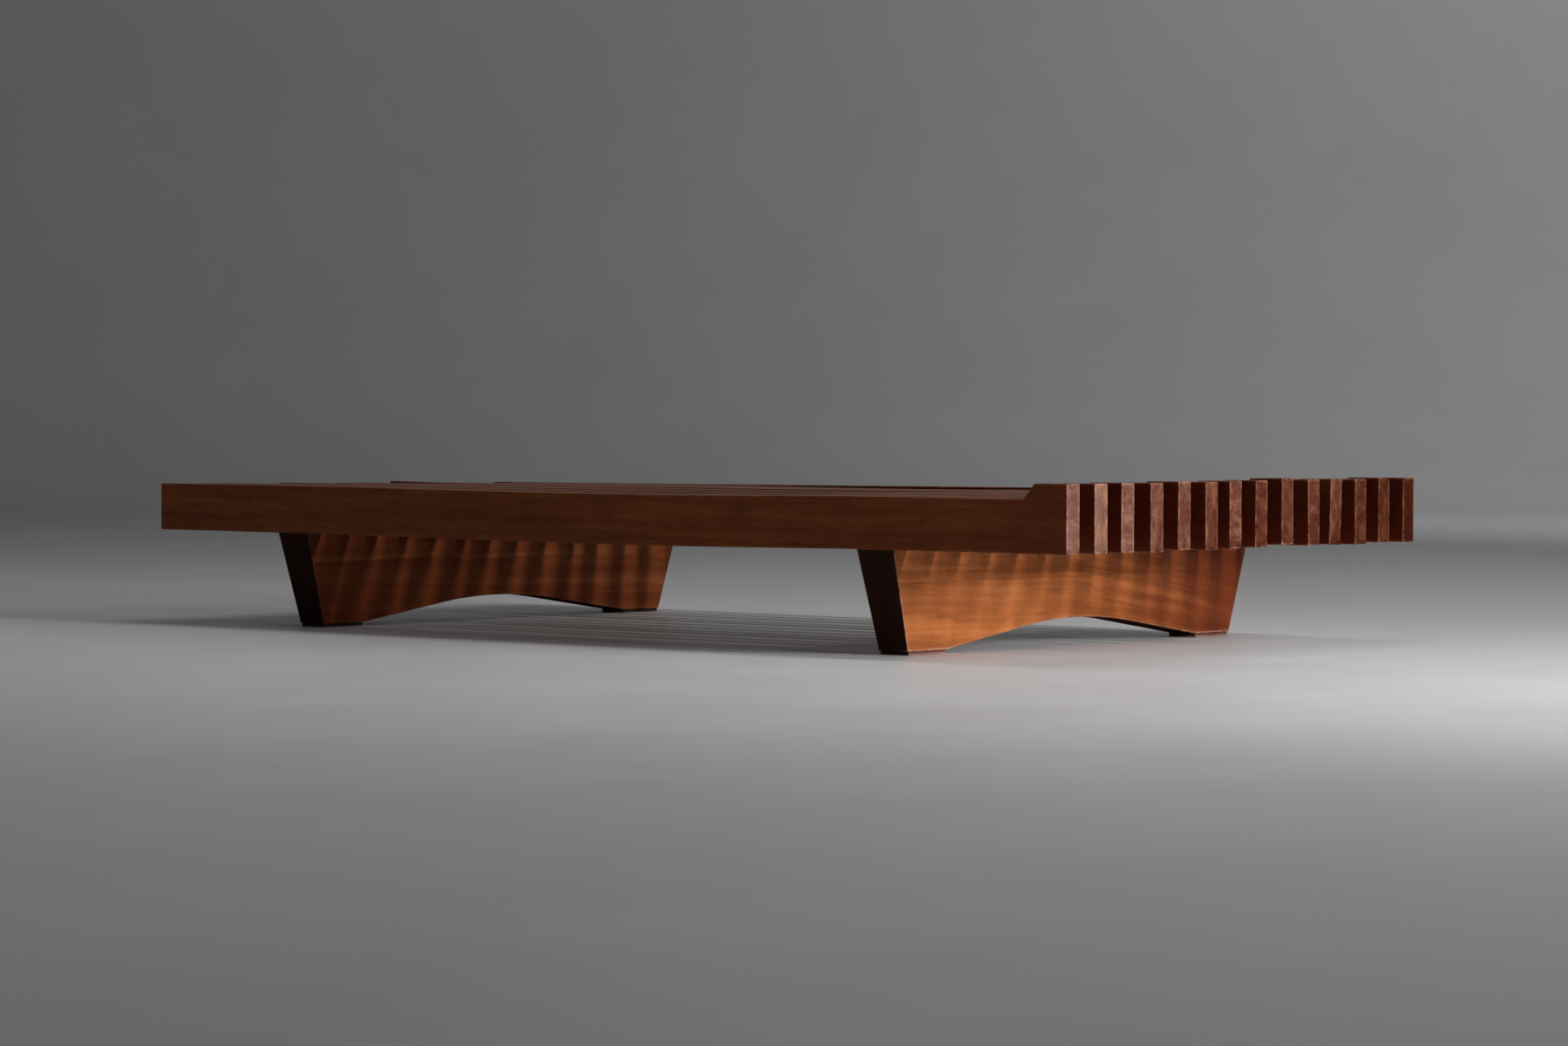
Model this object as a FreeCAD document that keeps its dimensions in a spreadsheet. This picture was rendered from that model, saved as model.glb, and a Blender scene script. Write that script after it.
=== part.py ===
import FreeCAD, Part
import math
import os

import Sketcher
from FreeCAD import Placement, Rotation, Vector

# Slatted daybed of solid wood, millimetres, +Z up.
# +X runs along the slats towards the head end, where every slat rises into a low lip.
# +Y runs across the slats. The origin is on the floor, under the middle of the bed.

doc = FreeCAD.newDocument("SlattedDaybed")

# ---------------------------------------------------------------------------
# Driving dimensions
# ---------------------------------------------------------------------------
sheet = doc.addObject("Spreadsheet::Sheet", "Dims")
DIMS = [
    # alias, value, meaning
    ("bed_length", 1960, "length of every slat, and of the bed"),
    ("bed_width", 932, "outer face of the first slat to outer face of the last"),
    ("slat_count", 14, "slats side by side"),
    ("slat_thick", 32, "thickness of a slat, across the bed"),
    ("slat_height", 80, "height of a slat along its run"),
    ("lip_height", 103, "height of a slat at its head end"),
    ("lip_flat", 59, "level top of the lip"),
    ("lip_slope", 20, "length of the slope up to the lip"),
    ("slat_round", 1.6, "rounding of a slat's long edges"),
    ("seat_level", 160, "top of the legs, underside of the slats"),
    ("head_leg_x", 623, "middle of the head-end leg"),
    ("foot_leg_x", -646, "middle of the foot-end leg"),
    ("leg_thick_top", 73, "leg thickness where it carries the slats"),
    ("leg_thick_foot", 57.5, "leg thickness at the feet"),
    ("leg_inset", 44, "how far the feet stand in from the bed's sides"),
    ("foot_width", 94, "width of a foot, across the bed"),
    ("joint_level", 110, "level of the glue joint between a leg's two boards"),
    ("arch_level", 44, "highest point of the arch under a leg"),
    ("arch_radius", 965, "radius of the arch's middle"),
    ("leg_round", 1.2, "rounding of a leg's edges"),
    ("pad_thick", 6, "thickness of a foot pad"),
    ("pad_margin", 0.8, "bare border of a foot around its pad"),
    ("dowel_radius", 5, "radius of the dowels under the slats"),
    ("dowel_spread", 36, "distance between the two dowels of one crossing"),
    ("dowel_half", 28, "reach of a slat dowel into each piece"),
    ("tie_radius", 6, "radius of the dowels across a leg's glue joint"),
    ("tie_half", 22, "reach of a joint dowel into each board"),
    ("tie_pitch", 160, "spacing of the joint dowels"),
    ("glue_space", 1, "hole depth beyond the end of a dowel"),
    ("bow_rise", 3.5, "rise of the bowed slat at its ends"),
    # small sideways offsets of the inner slats from even spacing
    ("shift_1", 0, "slat 1"),
    ("shift_2", -0.8, "slat 2"),
    ("shift_3", -3.6, "slat 3"),
    ("shift_4", 0.8, "slat 4"),
    ("shift_5", 1.6, "slat 5"),
    ("shift_6", 4.1, "slat 6"),
    ("shift_7", -1.8, "slat 7"),
    ("shift_8", -2.1, "slat 8"),
    ("shift_9", 0.6, "slat 9"),
    ("shift_10", 4.4, "slat 10"),
    ("shift_11", -3.5, "slat 11"),
    ("shift_12", -0.6, "slat 12"),
    ("shift_13", -2.6, "slat 13"),
    ("shift_14", 0, "slat 14"),
]
sheet.set("A1", "name")
sheet.set("B1", "value")
sheet.set("C1", "meaning")
VALUE = {}
for row, (alias, value, meaning) in enumerate(DIMS, start=2):
    sheet.set("A%d" % row, alias)
    sheet.set("B%d" % row, str(value))
    sheet.set("C%d" % row, meaning)
    sheet.setAlias("B%d" % row, "dim_" + alias)
    VALUE[alias] = float(value)
doc.recompute()


def ref(alias):
    return "Dims.dim_" + alias


V = VALUE
COUNT = int(V["slat_count"])


def slat_y(number):
    pitch = (V["bed_width"] - V["slat_thick"]) / (COUNT - 1)
    return (
        -V["bed_width"] / 2
        + V["slat_thick"] / 2
        + pitch * (number - 1)
        + V["shift_%d" % number]
    )


def slat_y_expr(number):
    return "(-%s / 2 + %s / 2 + (%s - %s) / %d * %d + %s)" % (
        ref("bed_width"),
        ref("slat_thick"),
        ref("bed_width"),
        ref("slat_thick"),
        COUNT - 1,
        number - 1,
        ref("shift_%d" % number),
    )


# ---------------------------------------------------------------------------
# Helpers
# ---------------------------------------------------------------------------
def new_body(label):
    body = doc.addObject("PartDesign::Body", label)
    body.Label = label
    return body


def new_sketch(body, role, name):
    sketch = body.newObject("Sketcher::SketchObject", name)
    plane = [f for f in body.Origin.OriginFeatures if f.Role == role][0]
    sketch.AttachmentSupport = (plane, [""])
    sketch.MapMode = "FlatFace"
    return sketch


def closed_polygon(sketch, points):
    """Line segments through the points, joined corner to corner."""
    count = len(points)
    ids = []
    for i in range(count):
        a, b = points[i], points[(i + 1) % count]
        ids.append(
            sketch.addGeometry(
                Part.LineSegment(Vector(a[0], a[1], 0), Vector(b[0], b[1], 0)), False
            )
        )
    for i in range(count):
        sketch.addConstraint(
            Sketcher.Constraint("Coincident", ids[i], 2, ids[(i + 1) % count], 1)
        )
    return ids


def pin_x(sketch, geo, vertex, value, expression, name):
    """Distance of a point from the sketch's vertical axis."""
    index = sketch.addConstraint(
        Sketcher.Constraint("DistanceX", -1, 1, geo, vertex, value)
    )
    sketch.renameConstraint(index, name)
    sketch.setExpression("Constraints." + name, expression)


def pin_y(sketch, geo, vertex, value, expression, name):
    """Distance of a point from the sketch's horizontal axis."""
    index = sketch.addConstraint(
        Sketcher.Constraint("DistanceY", -1, 1, geo, vertex, value)
    )
    sketch.renameConstraint(index, name)
    sketch.setExpression("Constraints." + name, expression)


def pin_radius(sketch, geo, value, expression, name):
    index = sketch.addConstraint(Sketcher.Constraint("Radius", geo, value))
    sketch.renameConstraint(index, name)
    sketch.setExpression("Constraints." + name, expression)


def circle_field(sketch, centres, radius_alias):
    """Equal circles. centres holds (x, y, x expression, y expression)."""
    first = None
    for k, (x, y, x_expr, y_expr) in enumerate(centres):
        geo = sketch.addGeometry(
            Part.Circle(Vector(x, y, 0), Vector(0, 0, 1), V[radius_alias]), False
        )
        if first is None:
            first = geo
            pin_radius(sketch, geo, V[radius_alias], ref(radius_alias), "bore_radius")
        else:
            sketch.addConstraint(Sketcher.Constraint("Equal", first, geo))
        pin_x(sketch, geo, 3, x, x_expr, "cx%d" % k)
        pin_y(sketch, geo, 3, y, y_expr, "cy%d" % k)


def pocket(body, sketch, name, length, expression, reverse, through=False):
    before = body.Shape.Volume
    cut = body.newObject("PartDesign::Pocket", name)
    cut.Profile = sketch
    if through:
        cut.Type = "ThroughAll"
        cut.Midplane = True
    else:
        cut.Type = "Length"
        cut.Length = length
        cut.setExpression("Length", expression)
        cut.Reversed = reverse
    body.Tip = cut
    doc.recompute()
    removed = before - body.Shape.Volume
    if removed <= 1:
        raise RuntimeError("%s in %s removes nothing" % (name, body.Label))
    return removed


def round_edges(body, base, radius_alias, wanted, name):
    """Rounds the edges of base for which wanted(edge) holds."""
    names = []
    for k, edge in enumerate(base.Shape.Edges, start=1):
        if wanted(edge):
            names.append("Edge%d" % k)
    fillet = body.newObject("PartDesign::Fillet", name)
    fillet.Base = (base, names)
    fillet.Radius = V[radius_alias]
    fillet.setExpression("Radius", ref(radius_alias))
    body.Tip = fillet
    doc.recompute()
    return fillet


PARTS = []

# ---------------------------------------------------------------------------
# Slats
# ---------------------------------------------------------------------------
HALF_L = V["bed_length"] / 2
LIP_A = HALF_L - V["lip_flat"] - V["lip_slope"]
LIP_B = HALF_L - V["lip_flat"]


def straight_profile(sketch):
    """Side view of a slat: level underside and top, and the lip at the head end."""
    pts = [
        (-HALF_L, 0),
        (HALF_L, 0),
        (HALF_L, V["lip_height"]),
        (LIP_B, V["lip_height"]),
        (LIP_A, V["slat_height"]),
        (-HALF_L, V["slat_height"]),
    ]
    g = closed_polygon(sketch, pts)
    for k in (0, 2, 4):
        sketch.addConstraint(Sketcher.Constraint("Horizontal", g[k]))
    for k in (1, 5):
        sketch.addConstraint(Sketcher.Constraint("Vertical", g[k]))
    pin_x(sketch, g[0], 2, HALF_L, ref("bed_length") + " / 2", "head_x")
    pin_x(sketch, g[0], 1, -HALF_L, "-" + ref("bed_length") + " / 2", "foot_x")
    pin_y(sketch, g[0], 1, 0, "0", "under_z")
    pin_y(sketch, g[2], 1, V["lip_height"], ref("lip_height"), "lip_z")
    pin_y(sketch, g[4], 1, V["slat_height"], ref("slat_height"), "top_z")
    pin_x(
        sketch,
        g[2],
        2,
        LIP_B,
        "%s / 2 - %s" % (ref("bed_length"), ref("lip_flat")),
        "lip_x",
    )
    pin_x(
        sketch,
        g[3],
        2,
        LIP_A,
        "%s / 2 - %s - %s" % (ref("bed_length"), ref("lip_flat"), ref("lip_slope")),
        "slope_x",
    )


def bowed_profile(sketch):
    """Side view of the bowed slat: straight from leg to leg, and curving up by the
    bow's rise over each overhang, top and underside parallel."""
    rise = V["bow_rise"]
    head_x = V["head_leg_x"] + V["leg_thick_top"] / 2
    foot_x = V["foot_leg_x"] - V["leg_thick_top"] / 2
    head_run = HALF_L - head_x
    foot_run = foot_x + HALF_L
    height = V["slat_height"]
    lip = V["lip_height"]

    def lift(x):
        if x > head_x:
            return rise * ((x - head_x) / head_run) ** 2
        if x < foot_x:
            return rise * ((foot_x - x) / foot_run) ** 2
        return 0.0

    steps = 6
    under = (
        [(-HALF_L + foot_run * k / steps) for k in range(steps)]
        + [foot_x, head_x]
        + [head_x + head_run * (k + 1) / steps for k in range(steps)]
    )
    top = [x for x in under if x < LIP_A - 12]
    pts = [Vector(x, lift(x), 0) for x in under]
    head_top = [
        Vector(HALF_L, lip + lift(HALF_L), 0),
        Vector(LIP_B, lip + lift(LIP_B), 0),
        Vector(LIP_A, height + lift(LIP_A), 0),
    ]
    loop = pts + head_top + [Vector(x, height + lift(x), 0) for x in reversed(top)]
    ids = []
    for i in range(len(loop)):
        a, b = loop[i], loop[(i + 1) % len(loop)]
        ids.append(sketch.addGeometry(Part.LineSegment(a, b), False))
    for i in range(len(loop)):
        sketch.addConstraint(
            Sketcher.Constraint("Coincident", ids[i], 2, ids[(i + 1) % len(loop)], 1)
        )

    # Every corner is placed by the sheet: x along the slat, z by the bow's formula.
    half = ref("bed_length") + " / 2"
    hx = "(%s + %s / 2)" % (ref("head_leg_x"), ref("leg_thick_top"))
    fx = "(%s - %s / 2)" % (ref("foot_leg_x"), ref("leg_thick_top"))
    hr = "(%s - %s)" % (half, hx)
    fr = "(%s + %s)" % (fx, half)

    def x_expr(x):
        if abs(x - head_x) < 1e-6:
            return hx
        if abs(x - foot_x) < 1e-6:
            return fx
        if abs(x - LIP_B) < 1e-6:
            return "%s - %s" % (half, ref("lip_flat"))
        if abs(x - LIP_A) < 1e-6:
            return "%s - %s - %s" % (half, ref("lip_flat"), ref("lip_slope"))
        if x > head_x:
            k = round((x - head_x) / head_run * steps)
            return "%s + %s * %d / %d" % (hx, hr, k, steps)
        k = round((foot_x - x) / foot_run * steps)
        return "%s - %s * %d / %d" % (fx, fr, k, steps)

    def lift_expr(x):
        if abs(x - LIP_B) < 1e-6 or abs(x - LIP_A) < 1e-6:
            part = "((%s - %s) / %s)" % (x_expr(x), hx, hr)
            return "%s * %s * %s" % (ref("bow_rise"), part, part)
        if x > head_x + 1e-6:
            k = round((x - head_x) / head_run * steps)
        elif x < foot_x - 1e-6:
            k = round((foot_x - x) / foot_run * steps)
        else:
            return "0"
        return "%s * %d / %d" % (ref("bow_rise"), k * k, steps * steps)

    n_under = len(pts)
    for i, p in enumerate(loop):
        pin_x(sketch, ids[i], 1, p.x, x_expr(p.x), "px%d" % i)
        if i < n_under:
            base = ""
        elif i < n_under + 2:
            base = ref("lip_height") + " + "
        else:
            base = ref("slat_height") + " + "
        pin_y(sketch, ids[i], 1, p.y, base + lift_expr(p.x), "pz%d" % i)


def long_edge(edge):
    """Edges on a slat's two side faces, except those at its square-cut ends."""
    a, b = edge.Vertexes[0].Point, edge.Vertexes[-1].Point
    side = V["slat_thick"] / 2
    if abs(abs(a.y) - side) > 1e-4 or abs(a.y - b.y) > 1e-4:
        return False
    return abs(a.x - b.x) > 1


def make_slat(number):
    label = "slat_%02d" % number
    body = new_body(label)
    side = new_sketch(body, "XZ_Plane", "side_view_%02d" % number)
    if number == 9:
        bowed_profile(side)
    else:
        straight_profile(side)
    doc.recompute()
    pad = body.newObject("PartDesign::Pad", "board_%02d" % number)
    pad.Profile = side
    pad.Type = "Length"
    pad.Length = V["slat_thick"]
    pad.setExpression("Length", ref("slat_thick"))
    pad.Midplane = True
    body.Tip = pad
    doc.recompute()
    round_edges(body, pad, "slat_round", long_edge, "softened_%02d" % number)

    # Blind holes for the dowels, two over each leg, from the underside.
    under = new_sketch(body, "XY_Plane", "dowel_marks_%02d" % number)
    centres = []
    for leg in ("head_leg_x", "foot_leg_x"):
        for sign in (-1, 1):
            x = V[leg] + sign * V["dowel_spread"] / 2
            expr = "%s %s %s / 2" % (
                ref(leg),
                "+" if sign > 0 else "-",
                ref("dowel_spread"),
            )
            centres.append((x, 0.0, expr, "0"))
    circle_field(under, centres, "dowel_radius")
    doc.recompute()
    depth = V["dowel_half"] + V["glue_space"]
    removed = pocket(
        body,
        under,
        "dowel_holes_%02d" % number,
        depth,
        "%s + %s" % (ref("dowel_half"), ref("glue_space")),
        True,
    )
    expected = 4 * math.pi * V["dowel_radius"] ** 2 * depth
    if abs(removed - expected) > 0.01 * expected:
        raise RuntimeError("dowel holes of %s: %.1f" % (label, removed))

    body.setExpression("Placement.Base.y", slat_y_expr(number))
    body.setExpression("Placement.Base.z", ref("seat_level"))
    doc.recompute()
    PARTS.append(body)
    return body


for n in range(1, COUNT + 1):
    make_slat(n)

# ---------------------------------------------------------------------------
# Legs: two boards each, glued and dowelled one on the other
# ---------------------------------------------------------------------------
SEAT = V["seat_level"]
BASE = V["pad_thick"]
JOINT = V["joint_level"]
HALF_W = V["bed_width"] / 2


def end_y(z):
    """Half the leg's width across the bed at level z; the ends lean in downwards."""
    return HALF_W - V["leg_inset"] * (SEAT - z) / (SEAT - BASE)


def face_x(z):
    """Half the leg's thickness at level z; both faces lean in downwards."""
    drop = (V["leg_thick_top"] - V["leg_thick_foot"]) / 2
    return V["leg_thick_top"] / 2 - drop * (SEAT - z) / (SEAT - BASE)


def end_y_expr(z_expr):
    return "%s / 2 - %s * (%s - (%s)) / (%s - %s)" % (
        ref("bed_width"),
        ref("leg_inset"),
        ref("seat_level"),
        z_expr,
        ref("seat_level"),
        ref("pad_thick"),
    )


def face_x_expr(z_expr):
    return "%s / 2 - (%s - %s) / 2 * (%s - (%s)) / (%s - %s)" % (
        ref("leg_thick_top"),
        ref("leg_thick_top"),
        ref("leg_thick_foot"),
        ref("seat_level"),
        z_expr,
        ref("seat_level"),
        ref("pad_thick"),
    )


def lean_faces(body, tag, low, low_expr, high, high_expr):
    """Takes a wedge off both broad faces, so that the board thins downwards."""
    wedge = new_sketch(body, "XZ_Plane", "lean_%s" % tag)
    spare = 8.0
    for sign, side in ((-1, "back"), (1, "front")):
        pts = [
            (sign * face_x(high + spare), high + spare),
            (sign * face_x(low - spare), low - spare),
            (sign * (face_x(SEAT) + 10), low - spare),
            (sign * (face_x(SEAT) + 10), high + spare),
        ]
        g = closed_polygon(wedge, pts)
        sketch_sign = "" if sign > 0 else "-1 * "
        top_z = "%s + %g" % (high_expr, spare)
        low_z = "%s - %g" % (low_expr, spare)
        pin_x(
            wedge,
            g[0],
            1,
            pts[0][0],
            "%s(%s)" % (sketch_sign, face_x_expr(top_z)),
            side + "_ax",
        )
        pin_y(wedge, g[0], 1, pts[0][1], top_z, side + "_az")
        pin_x(
            wedge,
            g[1],
            1,
            pts[1][0],
            "%s(%s)" % (sketch_sign, face_x_expr(low_z)),
            side + "_bx",
        )
        pin_y(wedge, g[1], 1, pts[1][1], low_z, side + "_bz")
        pin_x(
            wedge,
            g[2],
            1,
            pts[2][0],
            "%s(%s / 2 + 10)" % (sketch_sign, ref("leg_thick_top")),
            side + "_cx",
        )
        wedge.addConstraint(Sketcher.Constraint("Horizontal", g[1]))
        wedge.addConstraint(Sketcher.Constraint("Vertical", g[2]))
        wedge.addConstraint(Sketcher.Constraint("Horizontal", g[3]))
    doc.recompute()
    pocket(body, wedge, "wedges_%s" % tag, 0, "0", False, through=True)


def slat_dowel_centres():
    """Dowel positions of one leg, about the leg's own middle."""
    centres = []
    for number in range(1, COUNT + 1):
        for sign in (-1, 1):
            x = sign * V["dowel_spread"] / 2
            x_expr = "%s%s / 2" % ("" if sign > 0 else "-", ref("dowel_spread"))
            centres.append((x, slat_y(number), x_expr, slat_y_expr(number)))
    return centres


def tie_centres():
    """Positions of the dowels across the glue joint of one leg."""
    centres = []
    for k in (-2.5, -1.5, -0.5, 0.5, 1.5, 2.5):
        centres.append(
            (0.0, k * V["tie_pitch"], "0", "%g * %s" % (k, ref("tie_pitch")))
        )
    return centres


def raise_sketch(sketch, value, expression):
    """Lifts a level sketch to the given height."""
    sketch.AttachmentOffset = Placement(Vector(0, 0, value), Rotation())
    sketch.setExpression("AttachmentOffset.Base.z", expression)


def side_edges(levels):
    """Edges along a leg's broad faces and leaning ends, except those at the given
    levels, where the board meets another piece."""

    def wanted(edge):
        a, b = edge.Vertexes[0].Point, edge.Vertexes[-1].Point
        for z in levels:
            if abs(a.z - z) < 0.01 and abs(b.z - z) < 0.01:
                return False
        along_x = abs(a.x - b.x) > 5 and abs(a.y - b.y) < 1 and abs(a.z - b.z) < 1
        return not along_x

    return wanted


def make_upper_board(tag, leg_alias):
    label = "%s_leg_upper_board" % tag
    body = new_body(label)
    front = new_sketch(body, "YZ_Plane", "upper_front_%s" % tag)
    pts = [
        (-end_y(JOINT), JOINT),
        (end_y(JOINT), JOINT),
        (end_y(SEAT), SEAT),
        (-end_y(SEAT), SEAT),
    ]
    g = closed_polygon(front, pts)
    front.addConstraint(Sketcher.Constraint("Horizontal", g[0]))
    front.addConstraint(Sketcher.Constraint("Horizontal", g[2]))
    pin_y(front, g[0], 1, JOINT, ref("joint_level"), "joint_z")
    pin_y(front, g[2], 1, SEAT, ref("seat_level"), "seat_z")
    low = end_y_expr(ref("joint_level"))
    pin_x(front, g[0], 1, pts[0][0], "-1 * (%s)" % low, "low_near")
    pin_x(front, g[0], 2, pts[1][0], low, "low_far")
    pin_x(front, g[2], 1, pts[2][0], ref("bed_width") + " / 2", "top_far")
    pin_x(front, g[2], 2, pts[3][0], "-" + ref("bed_width") + " / 2", "top_near")
    doc.recompute()
    pad = body.newObject("PartDesign::Pad", "upper_block_%s" % tag)
    pad.Profile = front
    pad.Type = "Length"
    pad.Length = V["leg_thick_top"]
    pad.setExpression("Length", ref("leg_thick_top"))
    pad.Midplane = True
    body.Tip = pad
    doc.recompute()
    lean_faces(body, "upper_%s" % tag, JOINT, ref("joint_level"), SEAT, ref("seat_level"))
    round_edges(
        body, body.Tip, "leg_round", side_edges([SEAT, JOINT]), "softened_upper_%s" % tag
    )

    marks = new_sketch(body, "XY_Plane", "slat_dowel_marks_%s" % tag)
    raise_sketch(marks, SEAT, ref("seat_level"))
    circle_field(marks, slat_dowel_centres(), "dowel_radius")
    doc.recompute()
    depth = V["dowel_half"] + V["glue_space"]
    removed = pocket(
        body,
        marks,
        "slat_dowel_holes_%s" % tag,
        depth,
        "%s + %s" % (ref("dowel_half"), ref("glue_space")),
        False,
    )
    expected = 2 * COUNT * math.pi * V["dowel_radius"] ** 2 * depth
    if abs(removed - expected) > 0.01 * expected:
        raise RuntimeError("slat dowel holes of %s: %.1f" % (label, removed))

    ties = new_sketch(body, "XY_Plane", "upper_tie_marks_%s" % tag)
    raise_sketch(ties, JOINT, ref("joint_level"))
    circle_field(ties, tie_centres(), "tie_radius")
    doc.recompute()
    depth = V["tie_half"] + V["glue_space"]
    removed = pocket(
        body,
        ties,
        "upper_tie_holes_%s" % tag,
        depth,
        "%s + %s" % (ref("tie_half"), ref("glue_space")),
        True,
    )
    expected = 6 * math.pi * V["tie_radius"] ** 2 * depth
    if abs(removed - expected) > 0.01 * expected:
        raise RuntimeError("joint dowel holes of %s: %.1f" % (label, removed))
    body.setExpression("Placement.Base.x", ref(leg_alias))
    doc.recompute()
    PARTS.append(body)


def make_arch_board(tag, leg_alias):
    label = "%s_leg_arch_board" % tag
    body = new_body(label)
    front = new_sketch(body, "YZ_Plane", "arch_front_%s" % tag)
    foot_y = end_y(BASE) - V["foot_width"]
    centre_z = V["arch_level"] - V["arch_radius"]
    reach = math.hypot(foot_y, BASE - centre_z)
    turn = math.atan2(foot_y, BASE - centre_z) - math.acos(V["arch_radius"] / reach)
    touch = (
        V["arch_radius"] * math.sin(turn),
        centre_z + V["arch_radius"] * math.cos(turn),
    )

    def line(a, b):
        return front.addGeometry(
            Part.LineSegment(Vector(a[0], a[1], 0), Vector(b[0], b[1], 0)), False
        )

    top_y = end_y(JOINT)
    out_y = end_y(BASE)
    top = line((top_y, JOINT), (-top_y, JOINT))
    near_end = line((-top_y, JOINT), (-out_y, BASE))
    near_foot = line((-out_y, BASE), (-foot_y, BASE))
    near_flank = line((-foot_y, BASE), (-touch[0], touch[1]))
    arch = front.addGeometry(
        Part.ArcOfCircle(
            Part.Circle(Vector(0, centre_z, 0), Vector(0, 0, 1), V["arch_radius"]),
            math.pi / 2 - turn,
            math.pi / 2 + turn,
        ),
        False,
    )
    far_flank = line((touch[0], touch[1]), (foot_y, BASE))
    far_foot = line((foot_y, BASE), (out_y, BASE))
    far_end = line((out_y, BASE), (top_y, JOINT))

    def join(a, av, b, bv, kind="Coincident"):
        front.addConstraint(Sketcher.Constraint(kind, a, av, b, bv))

    join(top, 2, near_end, 1)
    join(near_end, 2, near_foot, 1)
    join(near_foot, 2, near_flank, 1)
    join(near_flank, 2, arch, 2, "Tangent")
    join(arch, 1, far_flank, 1, "Tangent")
    join(far_flank, 2, far_foot, 1)
    join(far_foot, 2, far_end, 1)
    join(far_end, 2, top, 1)
    front.addConstraint(Sketcher.Constraint("Horizontal", top))
    front.addConstraint(Sketcher.Constraint("Horizontal", near_foot))
    front.addConstraint(Sketcher.Constraint("Horizontal", far_foot))
    pin_y(front, top, 1, JOINT, ref("joint_level"), "joint_z")
    pin_y(front, near_foot, 1, BASE, ref("pad_thick"), "near_base_z")
    pin_y(front, far_foot, 1, BASE, ref("pad_thick"), "far_base_z")
    low = end_y_expr(ref("pad_thick"))
    mid = end_y_expr(ref("joint_level"))
    pin_x(front, top, 1, top_y, mid, "top_far")
    pin_x(front, top, 2, -top_y, "-1 * (%s)" % mid, "top_near")
    pin_x(front, near_foot, 1, -out_y, "-1 * (%s)" % low, "out_near")
    pin_x(front, far_foot, 2, out_y, low, "out_far")
    pin_x(
        front,
        near_foot,
        2,
        -foot_y,
        "-1 * (%s - %s)" % (low, ref("foot_width")),
        "foot_near",
    )
    pin_x(front, far_foot, 1, foot_y, "%s - %s" % (low, ref("foot_width")), "foot_far")
    pin_radius(front, arch, V["arch_radius"], ref("arch_radius"), "arch_radius")
    pin_x(front, arch, 3, 0.0, "0", "arch_centre_y")
    pin_y(
        front,
        arch,
        3,
        centre_z,
        "%s - %s" % (ref("arch_level"), ref("arch_radius")),
        "arch_centre_z",
    )
    doc.recompute()
    pad = body.newObject("PartDesign::Pad", "arch_block_%s" % tag)
    pad.Profile = front
    pad.Type = "Length"
    pad.Length = V["leg_thick_top"]
    pad.setExpression("Length", ref("leg_thick_top"))
    pad.Midplane = True
    body.Tip = pad
    doc.recompute()
    lean_faces(body, "arch_%s" % tag, BASE, ref("pad_thick"), JOINT, ref("joint_level"))
    round_edges(
        body, body.Tip, "leg_round", side_edges([JOINT]), "softened_arch_%s" % tag
    )

    ties = new_sketch(body, "XY_Plane", "arch_tie_marks_%s" % tag)
    raise_sketch(ties, JOINT, ref("joint_level"))
    circle_field(ties, tie_centres(), "tie_radius")
    doc.recompute()
    depth = V["tie_half"] + V["glue_space"]
    removed = pocket(
        body,
        ties,
        "arch_tie_holes_%s" % tag,
        depth,
        "%s + %s" % (ref("tie_half"), ref("glue_space")),
        False,
    )
    expected = 6 * math.pi * V["tie_radius"] ** 2 * depth
    if abs(removed - expected) > 0.01 * expected:
        raise RuntimeError("joint dowel holes of %s: %.1f" % (label, removed))
    body.setExpression("Placement.Base.x", ref(leg_alias))
    doc.recompute()
    PARTS.append(body)


def make_dowels(label, centres, radius_alias, half_alias, level_alias, leg_alias):
    """A set of equal upright dowels, each half its length in either piece."""
    body = new_body(label)
    if hasattr(body, "AllowCompound"):
        body.AllowCompound = True
    marks = new_sketch(body, "XY_Plane", "marks_" + label)
    circle_field(marks, centres, radius_alias)
    doc.recompute()
    pad = body.newObject("PartDesign::Pad", "rods_" + label)
    pad.Profile = marks
    pad.Type = "Length"
    pad.Length = 2 * V[half_alias]
    pad.setExpression("Length", "2 * " + ref(half_alias))
    pad.Midplane = True
    body.Tip = pad
    doc.recompute()
    names = ["Edge%d" % (k + 1) for k, e in enumerate(pad.Shape.Edges)
             if len(e.Vertexes) == 1]
    bevel = body.newObject("PartDesign::Chamfer", "bevels_" + label)
    bevel.Base = (pad, names)
    bevel.Size = 1.0
    body.Tip = bevel
    body.setExpression("Placement.Base.x", ref(leg_alias))
    body.setExpression("Placement.Base.z", ref(level_alias))
    doc.recompute()
    if len(body.Shape.Solids) != len(centres):
        raise RuntimeError("%s has %d solids" % (label, len(body.Shape.Solids)))
    PARTS.append(body)


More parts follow.
